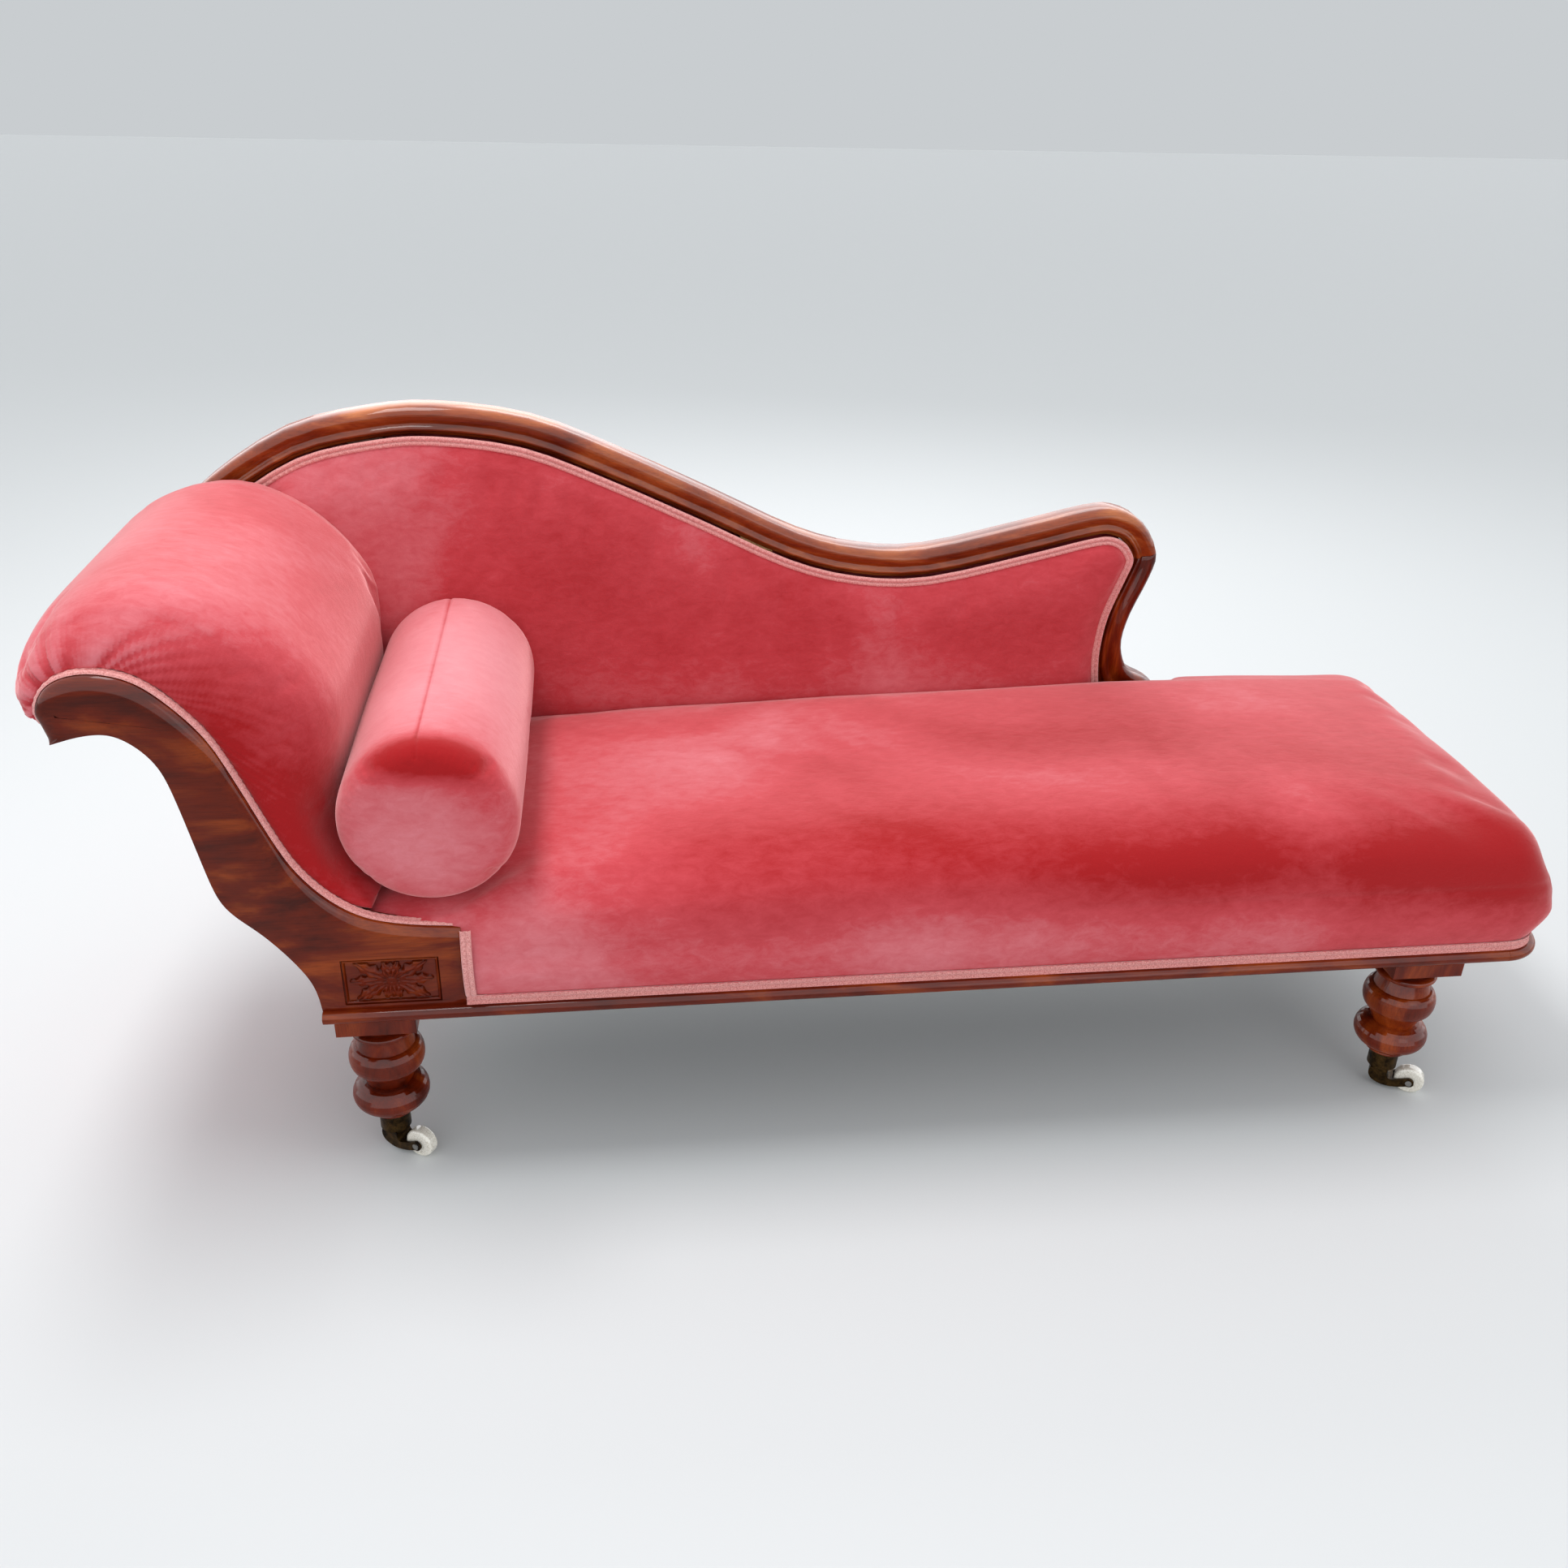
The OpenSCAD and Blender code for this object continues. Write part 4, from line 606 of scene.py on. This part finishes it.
def band_line(node, axis, side):
    """Centre line of a CAD band, from the outline of the flat face on one side of it."""
    shape = bmesh.new()
    shape.from_mesh(nodes[node].data)
    shape.transform(nodes[node].matrix_world)
    bmesh.ops.remove_doubles(shape, verts=shape.verts, dist=2e-5)
    shape.normal_update()
    flat = {f for f in shape.faces if side * f.normal[axis] > 0.999}
    level = max(side * f.calc_center_median()[axis] for f in flat)
    flat = {f for f in flat if side * f.calc_center_median()[axis] > level - 1e-4}
    beside = {}
    for edge in {e for f in flat for e in f.edges}:
        if sum(f in flat for f in edge.link_faces) == 1:
            a, b = edge.verts
            beside.setdefault(a, []).append(b)
            beside.setdefault(b, []).append(a)
    start = min(beside, key=lambda v: v.index)
    loop = [start, beside[start][0]]
    while len(loop) < len(beside):
        loop.append(next(v for v in beside[loop[-1]] if v is not loop[-2]))
    ring = [v.co.copy() for v in loop]
    shape.free()
    half = len(ring) // 2

    def widest(r):
        return max((ring[(r + i) % len(ring)] - ring[r - 1 - i]).length for i in range(half))

    first = min(range(len(ring)), key=widest)
    return [(ring[(first + i) % len(ring)] + ring[first - 1 - i]) / 2 for i in range(half)]


def easy(line, step):
    """The line with even steps, rounded a little at its points, and its length."""
    rounds = 6
    places = np.array([list(p) for p in line])
    run = np.concatenate([[0], np.cumsum(np.linalg.norm(np.diff(places, axis=0), axis=1))])
    even = np.linspace(0, run[-1], int(run[-1] / step) + 1)
    places = np.stack([np.interp(even, run, places[:, k]) for k in range(3)], axis=1)
    for _ in range(rounds):
        places[1:-1] = (places[:-2] + 2 * places[1:-1] + places[2:]) / 4
    return [Vector(p) for p in places], run[-1]


def ease_outline(piece):
    """Rounds the sawn outline of a board that lies across Y, and keeps its corners."""
    rounds, near_straight = 10, 0.82
    shape = bmesh.new()
    shape.from_mesh(piece.data)
    bmesh.ops.dissolve_limit(
        shape, angle_limit=math.radians(0.5), verts=shape.verts, edges=shape.edges)
    shape.normal_update()
    levels = (min(v.co.y for v in shape.verts), max(v.co.y for v in shape.verts))
    sawn = [
        e for e in shape.edges
        if min(abs(e.verts[0].co.y - y) + abs(e.verts[1].co.y - y) for y in levels) < hair
        and any(abs(f.normal.y) < 0.1 for f in e.link_faces)
    ]
    bmesh.ops.subdivide_edges(shape, edges=sawn, cuts=3)
    neighbours = {}
    for edge in shape.edges:
        a, b = edge.verts
        if abs(a.co.y - b.co.y) < hair and any(abs(f.normal.y) < 0.1 for f in edge.link_faces):
            neighbours.setdefault(a, []).append(b)
            neighbours.setdefault(b, []).append(a)
    free = []
    for vert, near in neighbours.items():
        if len(near) == 2 and min(abs(vert.co.y - y) for y in levels) < hair:
            way_in = (vert.co - near[0].co).normalized()
            way_out = (near[1].co - vert.co).normalized()
            if way_in.dot(way_out) > near_straight:
                free.append(vert)
    for _ in range(rounds):
        eased = {v: (neighbours[v][0].co + 2 * v.co + neighbours[v][1].co) / 4 for v in free}
        for vert, place in eased.items():
            vert.co = place
    shape.to_mesh(piece.data)
    shape.free()


scroll_line, scroll_length = easy(band_line("gimp_head", axis=1, side=-1), step=0.004)
front_scroll = copy_of("front_scroll", "front_scroll_board", rail_mahogany)
ease_outline(front_scroll)
shape = bmesh.new()
shape.from_mesh(front_scroll.data)
board_front_y = min(v.co.y for v in shape.verts)
gimp_near, same_way = 0.00375, 0.6
thumb_w, thumb_d, thumb_rounds = 0.021, 0.0095, 8
along_top = kdtree.KDTree(len(scroll_line))
for index, point in enumerate(scroll_line):
    along_top.insert((point[0], board_front_y, point[2]), index)
along_top.balance()
outline = [
    e for e in shape.edges
    if all(abs(v.co.y - board_front_y) < hair for v in e.verts)
    and any(abs(f.normal.y) < 0.1 for f in e.link_faces)
]
upper_edge = {
    e for e in outline if along_top.find((e.verts[0].co + e.verts[1].co) / 2)[2] < gimp_near
}
# The moulding goes on round the tip, as far as the next sharp corner
grown = len(outline)
while grown != len(upper_edge):
    grown = len(upper_edge)
    for edge in outline:
        for vert in edge.verts:
            for other in set(vert.link_edges) & upper_edge - {edge}:
                way = (edge.other_vert(vert).co - vert.co).normalized()
                if way.dot((vert.co - other.other_vert(vert).co).normalized()) > same_way:
                    upper_edge.add(edge)
bmesh.ops.bevel(
    shape, geom=list(upper_edge), offset=thumb_w, segments=thumb_rounds, profile=0.5,
    affect="EDGES")
for vert in shape.verts:
    depth = vert.co.y - board_front_y
    if depth < thumb_w + hair:
        vert.co.y = board_front_y + depth * thumb_d / thumb_w
shape.to_mesh(front_scroll.data)
shape.free()
softened = front_scroll.modifiers.new("softened", "BEVEL")
softened.width, softened.segments = 0.0012, 2
softened.angle_limit = math.radians(50)
pick(front_scroll)
bpy.ops.object.modifier_apply(modifier="softened")
bpy.ops.object.shade_smooth_by_angle(angle=math.radians(38))
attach(front_scroll, "couch")

# Carved tablet. A small mahogany panel let into the board over the leg. From a boss a long leaf
# runs to each side, four more curl off beside it, and one stands above and one below.
tablet_low, tablet_high = (np.array(corner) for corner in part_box("carved_tablet"))
tablet_w, tablet_h = tablet_high[0] - tablet_low[0], tablet_high[2] - tablet_low[2]
bpy.ops.object.select_all(action="DESELECT")
bpy.ops.mesh.primitive_grid_add(x_subdivisions=150, y_subdivisions=84, size=1)
tablet = bpy.context.object
tablet.name = "carved_leaf_tablet"
place = points_of(tablet)
u = place[:, 0] * tablet_w
v = place[:, 1] * tablet_h
relief_t = 0.0066
high = np.zeros(len(u))
curl, lobe_high, lobe_turns, belly, crown, roundness = 0.22, 0.2, 26, 0.8, 0.95, 0.75
vein_deep, vein_half, rib_deep, rib_turns, rib_slant = 0.0018, 0.0012, 0.0007, 9, 14
stem_hidden = 0.004
# The angle of each leaf in degrees, its length, its half width and how far it curls
leaf_list = [
    (0, 0.047, 0.0085, 0.0),
    (27, 0.049, 0.0095, 0.5),
    (-27, 0.049, 0.0095, -0.5),
    (62, 0.027, 0.0065, 0.9),
    (-62, 0.027, 0.0065, -0.9),
    (90, 0.024, 0.006, 0.0),
]
for degrees, long, wide, bend in leaf_list:
    angle = math.radians(degrees)
    for mirrored in (1, -1):
        if degrees == 90:
            x, y = u, mirrored * v
        else:
            x, y = mirrored * u, v
        along = x * math.cos(angle) + y * math.sin(angle)
        side_way = -x * math.sin(angle) + y * math.cos(angle)
        share = np.clip(along / long, 0, 1)
        side_way = side_way - bend * long * curl * share ** 2
        lobes = 1 + lobe_high * np.cos(share * lobe_turns)
        reach = wide * np.sqrt(np.clip(np.sin(math.pi * share ** belly), 0, 1)) * lobes + 1e-6
        near = np.clip(1 - (side_way / reach) ** 2, 0, 1)
        body_high = relief_t * (0.5 + 0.5 * np.sin(share * math.pi * crown)) * near ** roundness
        veins = vein_deep * np.exp(-(side_way / vein_half) ** 2)
        veins += rib_deep * np.cos(side_way / reach * rib_turns + share * rib_slant)
        on_leaf = (along > stem_hidden) & (along < long) & (near > 0)
        leaf_high = np.where(on_leaf, body_high - veins * near, 0)
        high = np.maximum(high, leaf_high)
spread = np.sqrt(u ** 2 + v ** 2)
boss_high, boss_r, dimple_deep, dimple_r = 0.0062, 0.0085, 0.0015, 0.002
collar_high, collar_r, collar_half = 0.0042, 0.0105, 0.0013
boss = boss_high * np.sqrt(np.clip(1 - (spread / boss_r) ** 2, 0, 1))
boss -= dimple_deep * np.exp(-(spread / dimple_r) ** 2)
collar = collar_high * np.exp(-((spread - collar_r) / collar_half) ** 2)
high = np.maximum(high, np.maximum(boss, collar))
edge_near = np.minimum(tablet_w / 2 - np.abs(u), tablet_h / 2 - np.abs(v))
border_high, border_half, ground_in, ground_run = 0.0052, 0.0022, 0.004, 0.002
border = border_high * np.clip(1 - np.abs(edge_near - border_half) / border_half, 0, 1) ** 0.5
high = np.maximum(high * np.clip((edge_near - ground_in) / ground_run, 0, 1), border)
ground_t, shade_reach_share = 0.0035, 0.75
middle_x, middle_z = (tablet_low[0] + tablet_high[0]) / 2, (tablet_low[2] + tablet_high[2]) / 2
move_points(tablet, np.stack(
    [middle_x + u, tablet_high[1] - ground_t - high, middle_z + v], axis=1))
# Painted shade: the hollows of the carving are marked, and the wood is painted darker there
hollow = tablet.data.attributes.new("hollow", "FLOAT", "POINT")
hollow.data.foreach_set("value", np.clip(1 - high / (shade_reach_share * relief_t), 0, 1))
tablet.location = (0, 0, 0)
bpy.ops.object.shade_smooth()
tablet.data.materials.append(carved_mahogany)
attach(tablet, "couch")
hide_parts("carved_tablet")

# Head. Stuffing rolled over the top of the scroll in velvet, pleated where it meets the front
# end of the roll, and stretched in long soft creases down the border.
head = stuffed("head_pad", "head_roll", cell=0.006, rounds=5)
place = points_of(head)
facing = normals_of(head)
under_x, facing_down, down_run, gimp_y, cover_y = -0.8, -0.5, 0.25, -0.250, 0.224
under = (place[:, 0] > under_x) * np.clip(facing_down - facing[:, 2], 0, down_run) / down_run
free = np.clip((place[:, 1] - gimp_y) / ease_run, 0, 1) * np.clip((cover_y - place[:, 1]) / ease_run, 0, 1)
swell(head, free * (1 - under), pressure=3.5, cap=0.009, slack=0.02)
refine(head)
shape = bmesh.new()
shape.from_mesh(head.data)
tip_face_y, tip_deep, tip_x = -0.256, 0.11, -0.64
pleated = [
    f for f in shape.faces
    if f.calc_center_median().y < tip_face_y + tip_deep and f.calc_center_median().x < tip_x]
bmesh.ops.subdivide_edges(
    shape, edges=list({e for f in pleated for e in f.edges}), cuts=1, use_grid_fill=True)
shape.to_mesh(head.data)
shape.free()
bpy.ops.object.shade_smooth()
place = points_of(head)
facing = normals_of(head)
border_y = place[:, 1].min()
tree = kdtree.KDTree(len(scroll_line))
for index, point in enumerate(scroll_line):
    tree.insert((point[0], border_y, point[2]), index)
tree.balance()
step_length = scroll_length / (len(scroll_line) - 1)
tip_first = scroll_line[0][0] < scroll_line[-1][0]
pleat_light_and_shade = np.zeros(len(place))
# The pleats fan out from the tip of the gimp, no two alike, and fade into creases lower down
pleats_in, pleat_pitch, slant, fan = 0.14, 0.0145, 0.6, 12
wander, wander_turns, shiver, shiver_turns, scatter = 0.6, 47, 0.25, 113, 12.99
pleat_high, pleat_tip, pleat_run, crease_high, fold_mean = 0.0045, 0.08, 0.06, 0.0007, 0.4
fade_near, fade_more, gimp_run, last_root, last_run = 0.026, 0.10, 0.006, 0.42, 0.1
# How much paler the pleat ridges and darker the folds are painted: painted light and shade
paler, darker, full_high = 0.22, 0.3, 0.003
for number in np.nonzero(place[:, 1] < border_y + pleats_in)[0]:
    _, index, away = tree.find(place[number])
    run = index * step_length if tip_first else scroll_length - index * step_length
    root = (run + slant * away) / (1 + fan * away)
    turn_count = root / pleat_pitch + wander * math.sin(root * wander_turns)
    turn_count += shiver * math.sin(root * shiver_turns)
    fold_share = (0.5 - 0.5 * math.cos(2 * math.pi * turn_count)) ** 0.7
    chance = 0.55 + 0.45 * math.sin(math.floor(turn_count) * scatter + 1)
    strong = pleat_high * math.exp(-(max(root - pleat_tip, 0) / pleat_run) ** 2) + crease_high
    fade = math.exp(-away / (fade_near + fade_more * root)) * min(away / gimp_run, 1)
    fade *= min(max(last_root - root, 0) / last_run, 1)
    place[number] += facing[number] * strong * fade * (fold_share * chance - fold_mean)
    # Painted light and shade: the ridges of the pleats are painted paler and their folds darker
    tone = paler * fold_share * chance - darker * (1 - fold_share)
    pleat_light_and_shade[number] = fade * min(strong / full_high, 1) * tone
# The lower end meets the seat without a gap
tail_x, tail_run, tail_out, tail_top = -0.58, 0.03, 0.014, 0.42
place[:, 0] += tail_out * np.clip((place[:, 0] - tail_x) / tail_run, 0, 1) * (place[:, 2] < tail_top)
# The front border is drawn forward against the gimp
border_run, border_out = 0.025, 0.005
place[:, 1] -= border_out * np.clip((border_y + border_run - place[:, 1]) / border_run, 0, 1)
move_points(head, place)
# Painted light and shade: the head roll is painted lighter on its top, at the tip and towards the back, and
# darker low along the front border, over the pleats' painted light and shade
brush_nap_and_paint_light(head, [
    ((-0.70, -0.24, 0.56), (0.05, 0.07, 0.07), -0.32),
    ((-0.62, -0.23, 0.44), (0.05, 0.07, 0.07), -0.36),
    ((-0.86, -0.22, 0.65), (0.05, 0.06, 0.05), 0.2),
    ((-0.56, -0.2, 0.40), (0.05, 0.1, 0.06), -0.2),
    ((-0.74, 0.05, 0.70), (0.07, 0.16, 0.06), 0.1),
    ((-0.88, 0.0, 0.68), (0.06, 0.16, 0.06), 0.14),
    ((-0.62, 0.12, 0.52), (0.05, 0.08, 0.12), 0.1),
], start=pleat_light_and_shade)
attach(head, "couch")

# Back. A thin panel of stuffing in velvet, tacked into the frame under a moulded rail of
# mahogany. The rail dips past the head and turns down into a post at its other end.
back = stuffed("back_pad", "back_cushioning", cell=0.008, rounds=4)
place = points_of(back)
tacked_y, tacked_run, seat_z = 0.2405, 0.008, 0.37
free = np.clip((tacked_y - place[:, 1]) / tacked_run, 0, 1)
free *= np.clip((place[:, 2] - seat_z) / ease_run, 0, 1)
swell(back, free, pressure=2.5, cap=0.006, slack=0.01)
refine(back)
brush_nap_and_paint_light(back, [
    ((-0.3, 0.22, 0.6), (0.14, 0.05, 0.07), -0.14),
    ((-0.6, 0.22, 0.66), (0.12, 0.05, 0.08), 0.22),
    ((0.3, 0.22, 0.5), (0.12, 0.05, 0.05), -0.1),
    ((0.0, 0.22, 0.40), (0.4, 0.05, 0.04), 0.08),
])
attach(back, "couch")
arris_r, arris_rounds = 0.0012, 2
show_wood("back_top_rail", "back_top_rail_moulded", paled_rail_mahogany, arris_r, arris_rounds)
show_wood("back_end_post", "back_end_post_moulded", upright_mahogany, arris_r, arris_rounds)

# Cloths that close the frame. Jute hessian over the springs, plain outer covers behind the head
# and the back, and a thin black cloth below that keeps the dust out.


def thin_cloth(node, name, material, cell, way, ripple, seed):
    """A taut cloth with faint ripples across one axis, and none at its tacked edges."""
    edge_run, ripples, slant_ripples, slant_share = 0.05, (31, 23), (17, 41), 0.6
    piece = copy_of(node, name, material)
    shape = bmesh.new()
    shape.from_mesh(piece.data)
    for _ in range(6):
        bmesh.ops.triangulate(shape, faces=shape.faces)
        wide = [e for e in shape.edges if e.calc_length() > cell]
        if not wide:
            break
        bmesh.ops.subdivide_edges(shape, edges=wide, cuts=1)
    bmesh.ops.triangulate(shape, faces=shape.faces)
    shape.to_mesh(piece.data)
    shape.free()
    place = points_of(piece)
    low, high = place.min(axis=0), place.max(axis=0)
    free = np.ones(len(place))
    for k in range(3):
        if k != way:
            free *= np.clip(np.minimum(place[:, k] - low[k], high[k] - place[:, k]) / edge_run, 0, 1)
    flat = np.delete(place, way, axis=1)
    wave = np.sin(flat[:, 0] * ripples[0] + seed) * np.sin(flat[:, 1] * ripples[1] + 2 * seed)
    wave += slant_share * np.sin(flat[:, 0] * slant_ripples[0] + flat[:, 1] * slant_ripples[1] + seed)
    place[:, way] += ripple * free * wave
    move_points(piece, place)
    pick(piece)
    bpy.ops.object.shade_smooth_by_angle(angle=math.radians(40))
    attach(piece, "couch")
    return piece


seat_hessian = thin_cloth(
    "seat_hessian", "hessian_over_springs", hessian, cell=0.03, way=2, ripple=0.0004, seed=1)
base_cover = thin_cloth(
    "base_cloth", "dust_cloth_below", dust_cloth, cell=0.03, way=2, ripple=0.0012, seed=2)
head_outer = thin_cloth(
    "head_outer_cloth", "head_outer_cover", velvet, cell=0.02, way=1, ripple=0.0, seed=3)
back_outer = thin_cloth(
    "back_outer_cloth", "back_outer_cover", velvet, cell=0.03, way=1, ripple=0.0007, seed=4)

# Gimp. A narrow woven braid of two plaited cords, glued over the tacks at every edge where
# the velvet meets the wood.
gimp = new_material("woven_gimp", "#E59A96", 0.75, Sheen_Weight=0.6, Sheen_Roughness=0.4)
shader = gimp.node_tree.nodes["Principled BSDF"]
coords = add_node(gimp, "ShaderNodeTexCoord")
strands = add_node(
    gimp, "ShaderNodeTexNoise", {"Scale": 650, "Detail": 3, "Roughness": 0.6},
    {"Vector": coords.outputs["Object"]})
dye = add_node(gimp, "ShaderNodeValToRGB", {}, {"Fac": strands.outputs["Fac"]})
dye.color_ramp.elements[0].position = 0.3
dye.color_ramp.elements[0].color = (*linear("#C26A68"), 1)
dye.color_ramp.elements[1].position = 0.62
dye.color_ramp.elements[1].color = (*linear("#EDA9A4"), 1)
yarn = add_node(
    gimp, "ShaderNodeBump", {"Strength": 0.5, "Distance": 0.0005}, {"Height": strands.outputs["Fac"]})
gimp.node_tree.links.new(dye.outputs["Color"], shader.inputs["Base Color"])
gimp.node_tree.links.new(yarn.outputs[0], shader.inputs["Normal"])
braid_w, braid_t, braid_pitch = 0.0125, 0.0028, 0.0085
cord_high, twist_high, edge_sunk = 0.82, 0.12, 0.0006


def guide(line, axis):
    """Flat curve through the line, and the place of its own plane in the frame."""
    turned = {
        0: Matrix(((0, 0, 1), (1, 0, 0), (0, 1, 0))),
        1: Matrix(((1, 0, 0), (0, 0, -1), (0, 1, 0))),
        2: Matrix.Identity(3),
    }[axis]
    placing = Matrix.Translation(line[0]) @ turned.to_4x4()
    data = bpy.data.curves.new("guide", "CURVE")
    data.dimensions = "2D"
    spline = data.splines.new("POLY")
    spline.points.add(len(line) - 1)
    for point, place in zip(spline.points, line):
        point.co = (*(placing.inverted() @ place), 1)
    holder = bpy.data.objects.new("guide", data)
    holder.matrix_world = placing
    scene.collection.objects.link(holder)
    return holder


def settle(piece):
    pick(piece)
    bpy.ops.object.transform_apply(location=True, rotation=True, scale=True)


def braid(name, node, axis, side, edge_on, outward, lower=0, upper=0):
    """Lays the braid along a CAD band, run on past its lower or upper end where that is asked."""
    line = band_line(node, axis, side)
    if line[0][2] > line[-1][2]:
        line = line[::-1]
    if upper:
        line.append(line[-1] + (line[-1] - line[-2]).normalized() * upper)
    if lower:
        line.insert(0, line[0] + (line[0] - line[1]).normalized() * lower)
    line, length = easy(line, step=0.003)
    holder = guide(line, axis)
    middle = len(line) // 2
    ahead_there = (line[middle + 1] - line[middle]).normalized()
    leftward = holder.matrix_world.to_3x3().col[2].cross(ahead_there)
    outward = math.copysign(1, leftward.dot(Vector(outward)))
    bpy.ops.object.select_all(action="DESELECT")
    bpy.ops.mesh.primitive_grid_add(x_subdivisions=8, y_subdivisions=12, size=1)
    piece = bpy.context.object
    piece.name = name
    place = points_of(piece)
    along, across = place[:, 0] + 0.5, place[:, 1].copy()
    cords = np.abs(np.sin(2 * math.pi * (across + 0.5)))
    twist = np.cos(2 * math.pi * (along + 1.1 * np.abs(across)))
    raised = braid_t * (1 - cord_high + cord_high * cords ** 0.6) * (1 - twist_high + twist_high * twist)
    raised = np.where(np.abs(across) > 0.499, -edge_sunk, raised)
    count = round(length / braid_pitch)
    place[:, 0] = along * length / count
    if edge_on:
        place[:, 1] = outward * raised
        place[:, 2] = -side * (1 if axis != 1 else -1) * (across + 0.5) * braid_w
    else:
        place[:, 1] = across * braid_w
        place[:, 2] = raised
    move_points(piece, place)
    piece.matrix_world = holder.matrix_world
    repeats = piece.modifiers.new("along", "ARRAY")
    repeats.count = count
    repeats.use_merge_vertices = True
    repeats.merge_threshold = 1e-4
    follow = piece.modifiers.new("follow", "CURVE")
    follow.object = holder
    pick(piece)
    bpy.ops.object.modifier_apply(modifier="along")
    bpy.ops.object.modifier_apply(modifier="follow")
    bpy.data.objects.remove(holder)
    settle(piece)
    bpy.ops.object.shade_smooth()
    piece.data.materials.append(gimp)
    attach(piece, "couch")
    return piece


seat_braid = braid("seat_gimp", "gimp_seat", axis=2, side=-1, edge_on=True, outward=(1, 0, 0))
back_braid = braid("back_gimp", "gimp_back", axis=1, side=-1, edge_on=False, outward=(0, 0, 1))
head_braid = braid(
    "head_gimp", "gimp_head", axis=1, side=-1, edge_on=True, outward=(1, 0, 1), lower=0.012)
braid("upright_gimp", "gimp_head", axis=0, side=1, edge_on=True, outward=(0, -1, 0), upper=0.014)
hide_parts("gimp_seat")
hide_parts("gimp_back")
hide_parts("gimp_head")

# Bolster. A loose round cushion in the same velvet, with a disc sewn into each end and one
# seam along its top. The nap at its front rim is brushed dark.
roll_piece = stuffed("bolster", "bolster_cushion", cell=0.005, rounds=4)
place = points_of(roll_piece)
lying_z = 0.385
free = np.clip((place[:, 2] - lying_z) / ease_run, 0, 1)
swell(roll_piece, free, pressure=2.5, cap=0.006, slack=0.01)
refine(roll_piece)
place = points_of(roll_piece)
facing = normals_of(roll_piece)
low, high = place.min(axis=0), place.max(axis=0)
axis_x, axis_z = (low[0] + high[0]) / 2, (low[2] + high[2]) / 2
spread = np.hypot(place[:, 0] - axis_x, place[:, 2] - axis_z)
turn_about = np.arctan2(place[:, 0] - axis_x, place[:, 2] - axis_z)
rim_in, seam_half, seam_deep, seam_set = 0.011, 0.0028, 0.0022, 0.35
pucker_deep, pucker_half, pucker_pitch = 0.0003, 0.012, 0.09
top_seam_turn, top_seam_r, top_seam_deep, top_seam_long = 0.06, 0.16, 0.0018, 0.23
inside = np.zeros(len(place))
for end_y, way in ((low[1], 1), (high[1], -1)):
    from_end = way * (place[:, 1] - end_y)
    off_seam = np.hypot(from_end - rim_in * seam_set, spread - (high[0] - axis_x) + rim_in)
    inside += seam_deep * np.exp(-(off_seam / seam_half) ** 2)
    puckers = np.sin(turn_about * 2 * math.pi / pucker_pitch)
    inside += pucker_deep * np.exp(-(off_seam / pucker_half) ** 2) * puckers
along_top = np.exp(-((turn_about + top_seam_turn) * top_seam_r / seam_half) ** 2) * (spread > 0.085)
inside += top_seam_deep * along_top
place -= facing * inside[:, None]
move_points(roll_piece, place)
top_seam_painted_shade = along_top * (np.abs(place[:, 1] - (low[1] + high[1]) / 2) < top_seam_long)
# Painted highlight: the top of the bolster is painted lighter. Painted shade: its top seam is painted
# darker. The dark patches at the front rim are brushed nap.
brush_nap_and_paint_light(roll_piece, [
    ((axis_x, low[1] + 0.016, high[2] - 0.006), (0.06, 0.018, 0.02), -0.7),
    ((axis_x, low[1] + 0.002, high[2] - 0.02), (0.055, 0.012, 0.014), -0.3),
    ((axis_x + 0.055, low[1] + 0.016, high[2] - 0.035), (0.03, 0.018, 0.03), -0.3),
    ((axis_x, 0.02, high[2] - 0.02), (0.14, 0.2, 0.09), 0.5),
    ((axis_x, low[1], axis_z - 0.03), (0.06, 0.012, 0.05), 0.14),
], start=-0.38 * top_seam_painted_shade)
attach(roll_piece, "bolster")
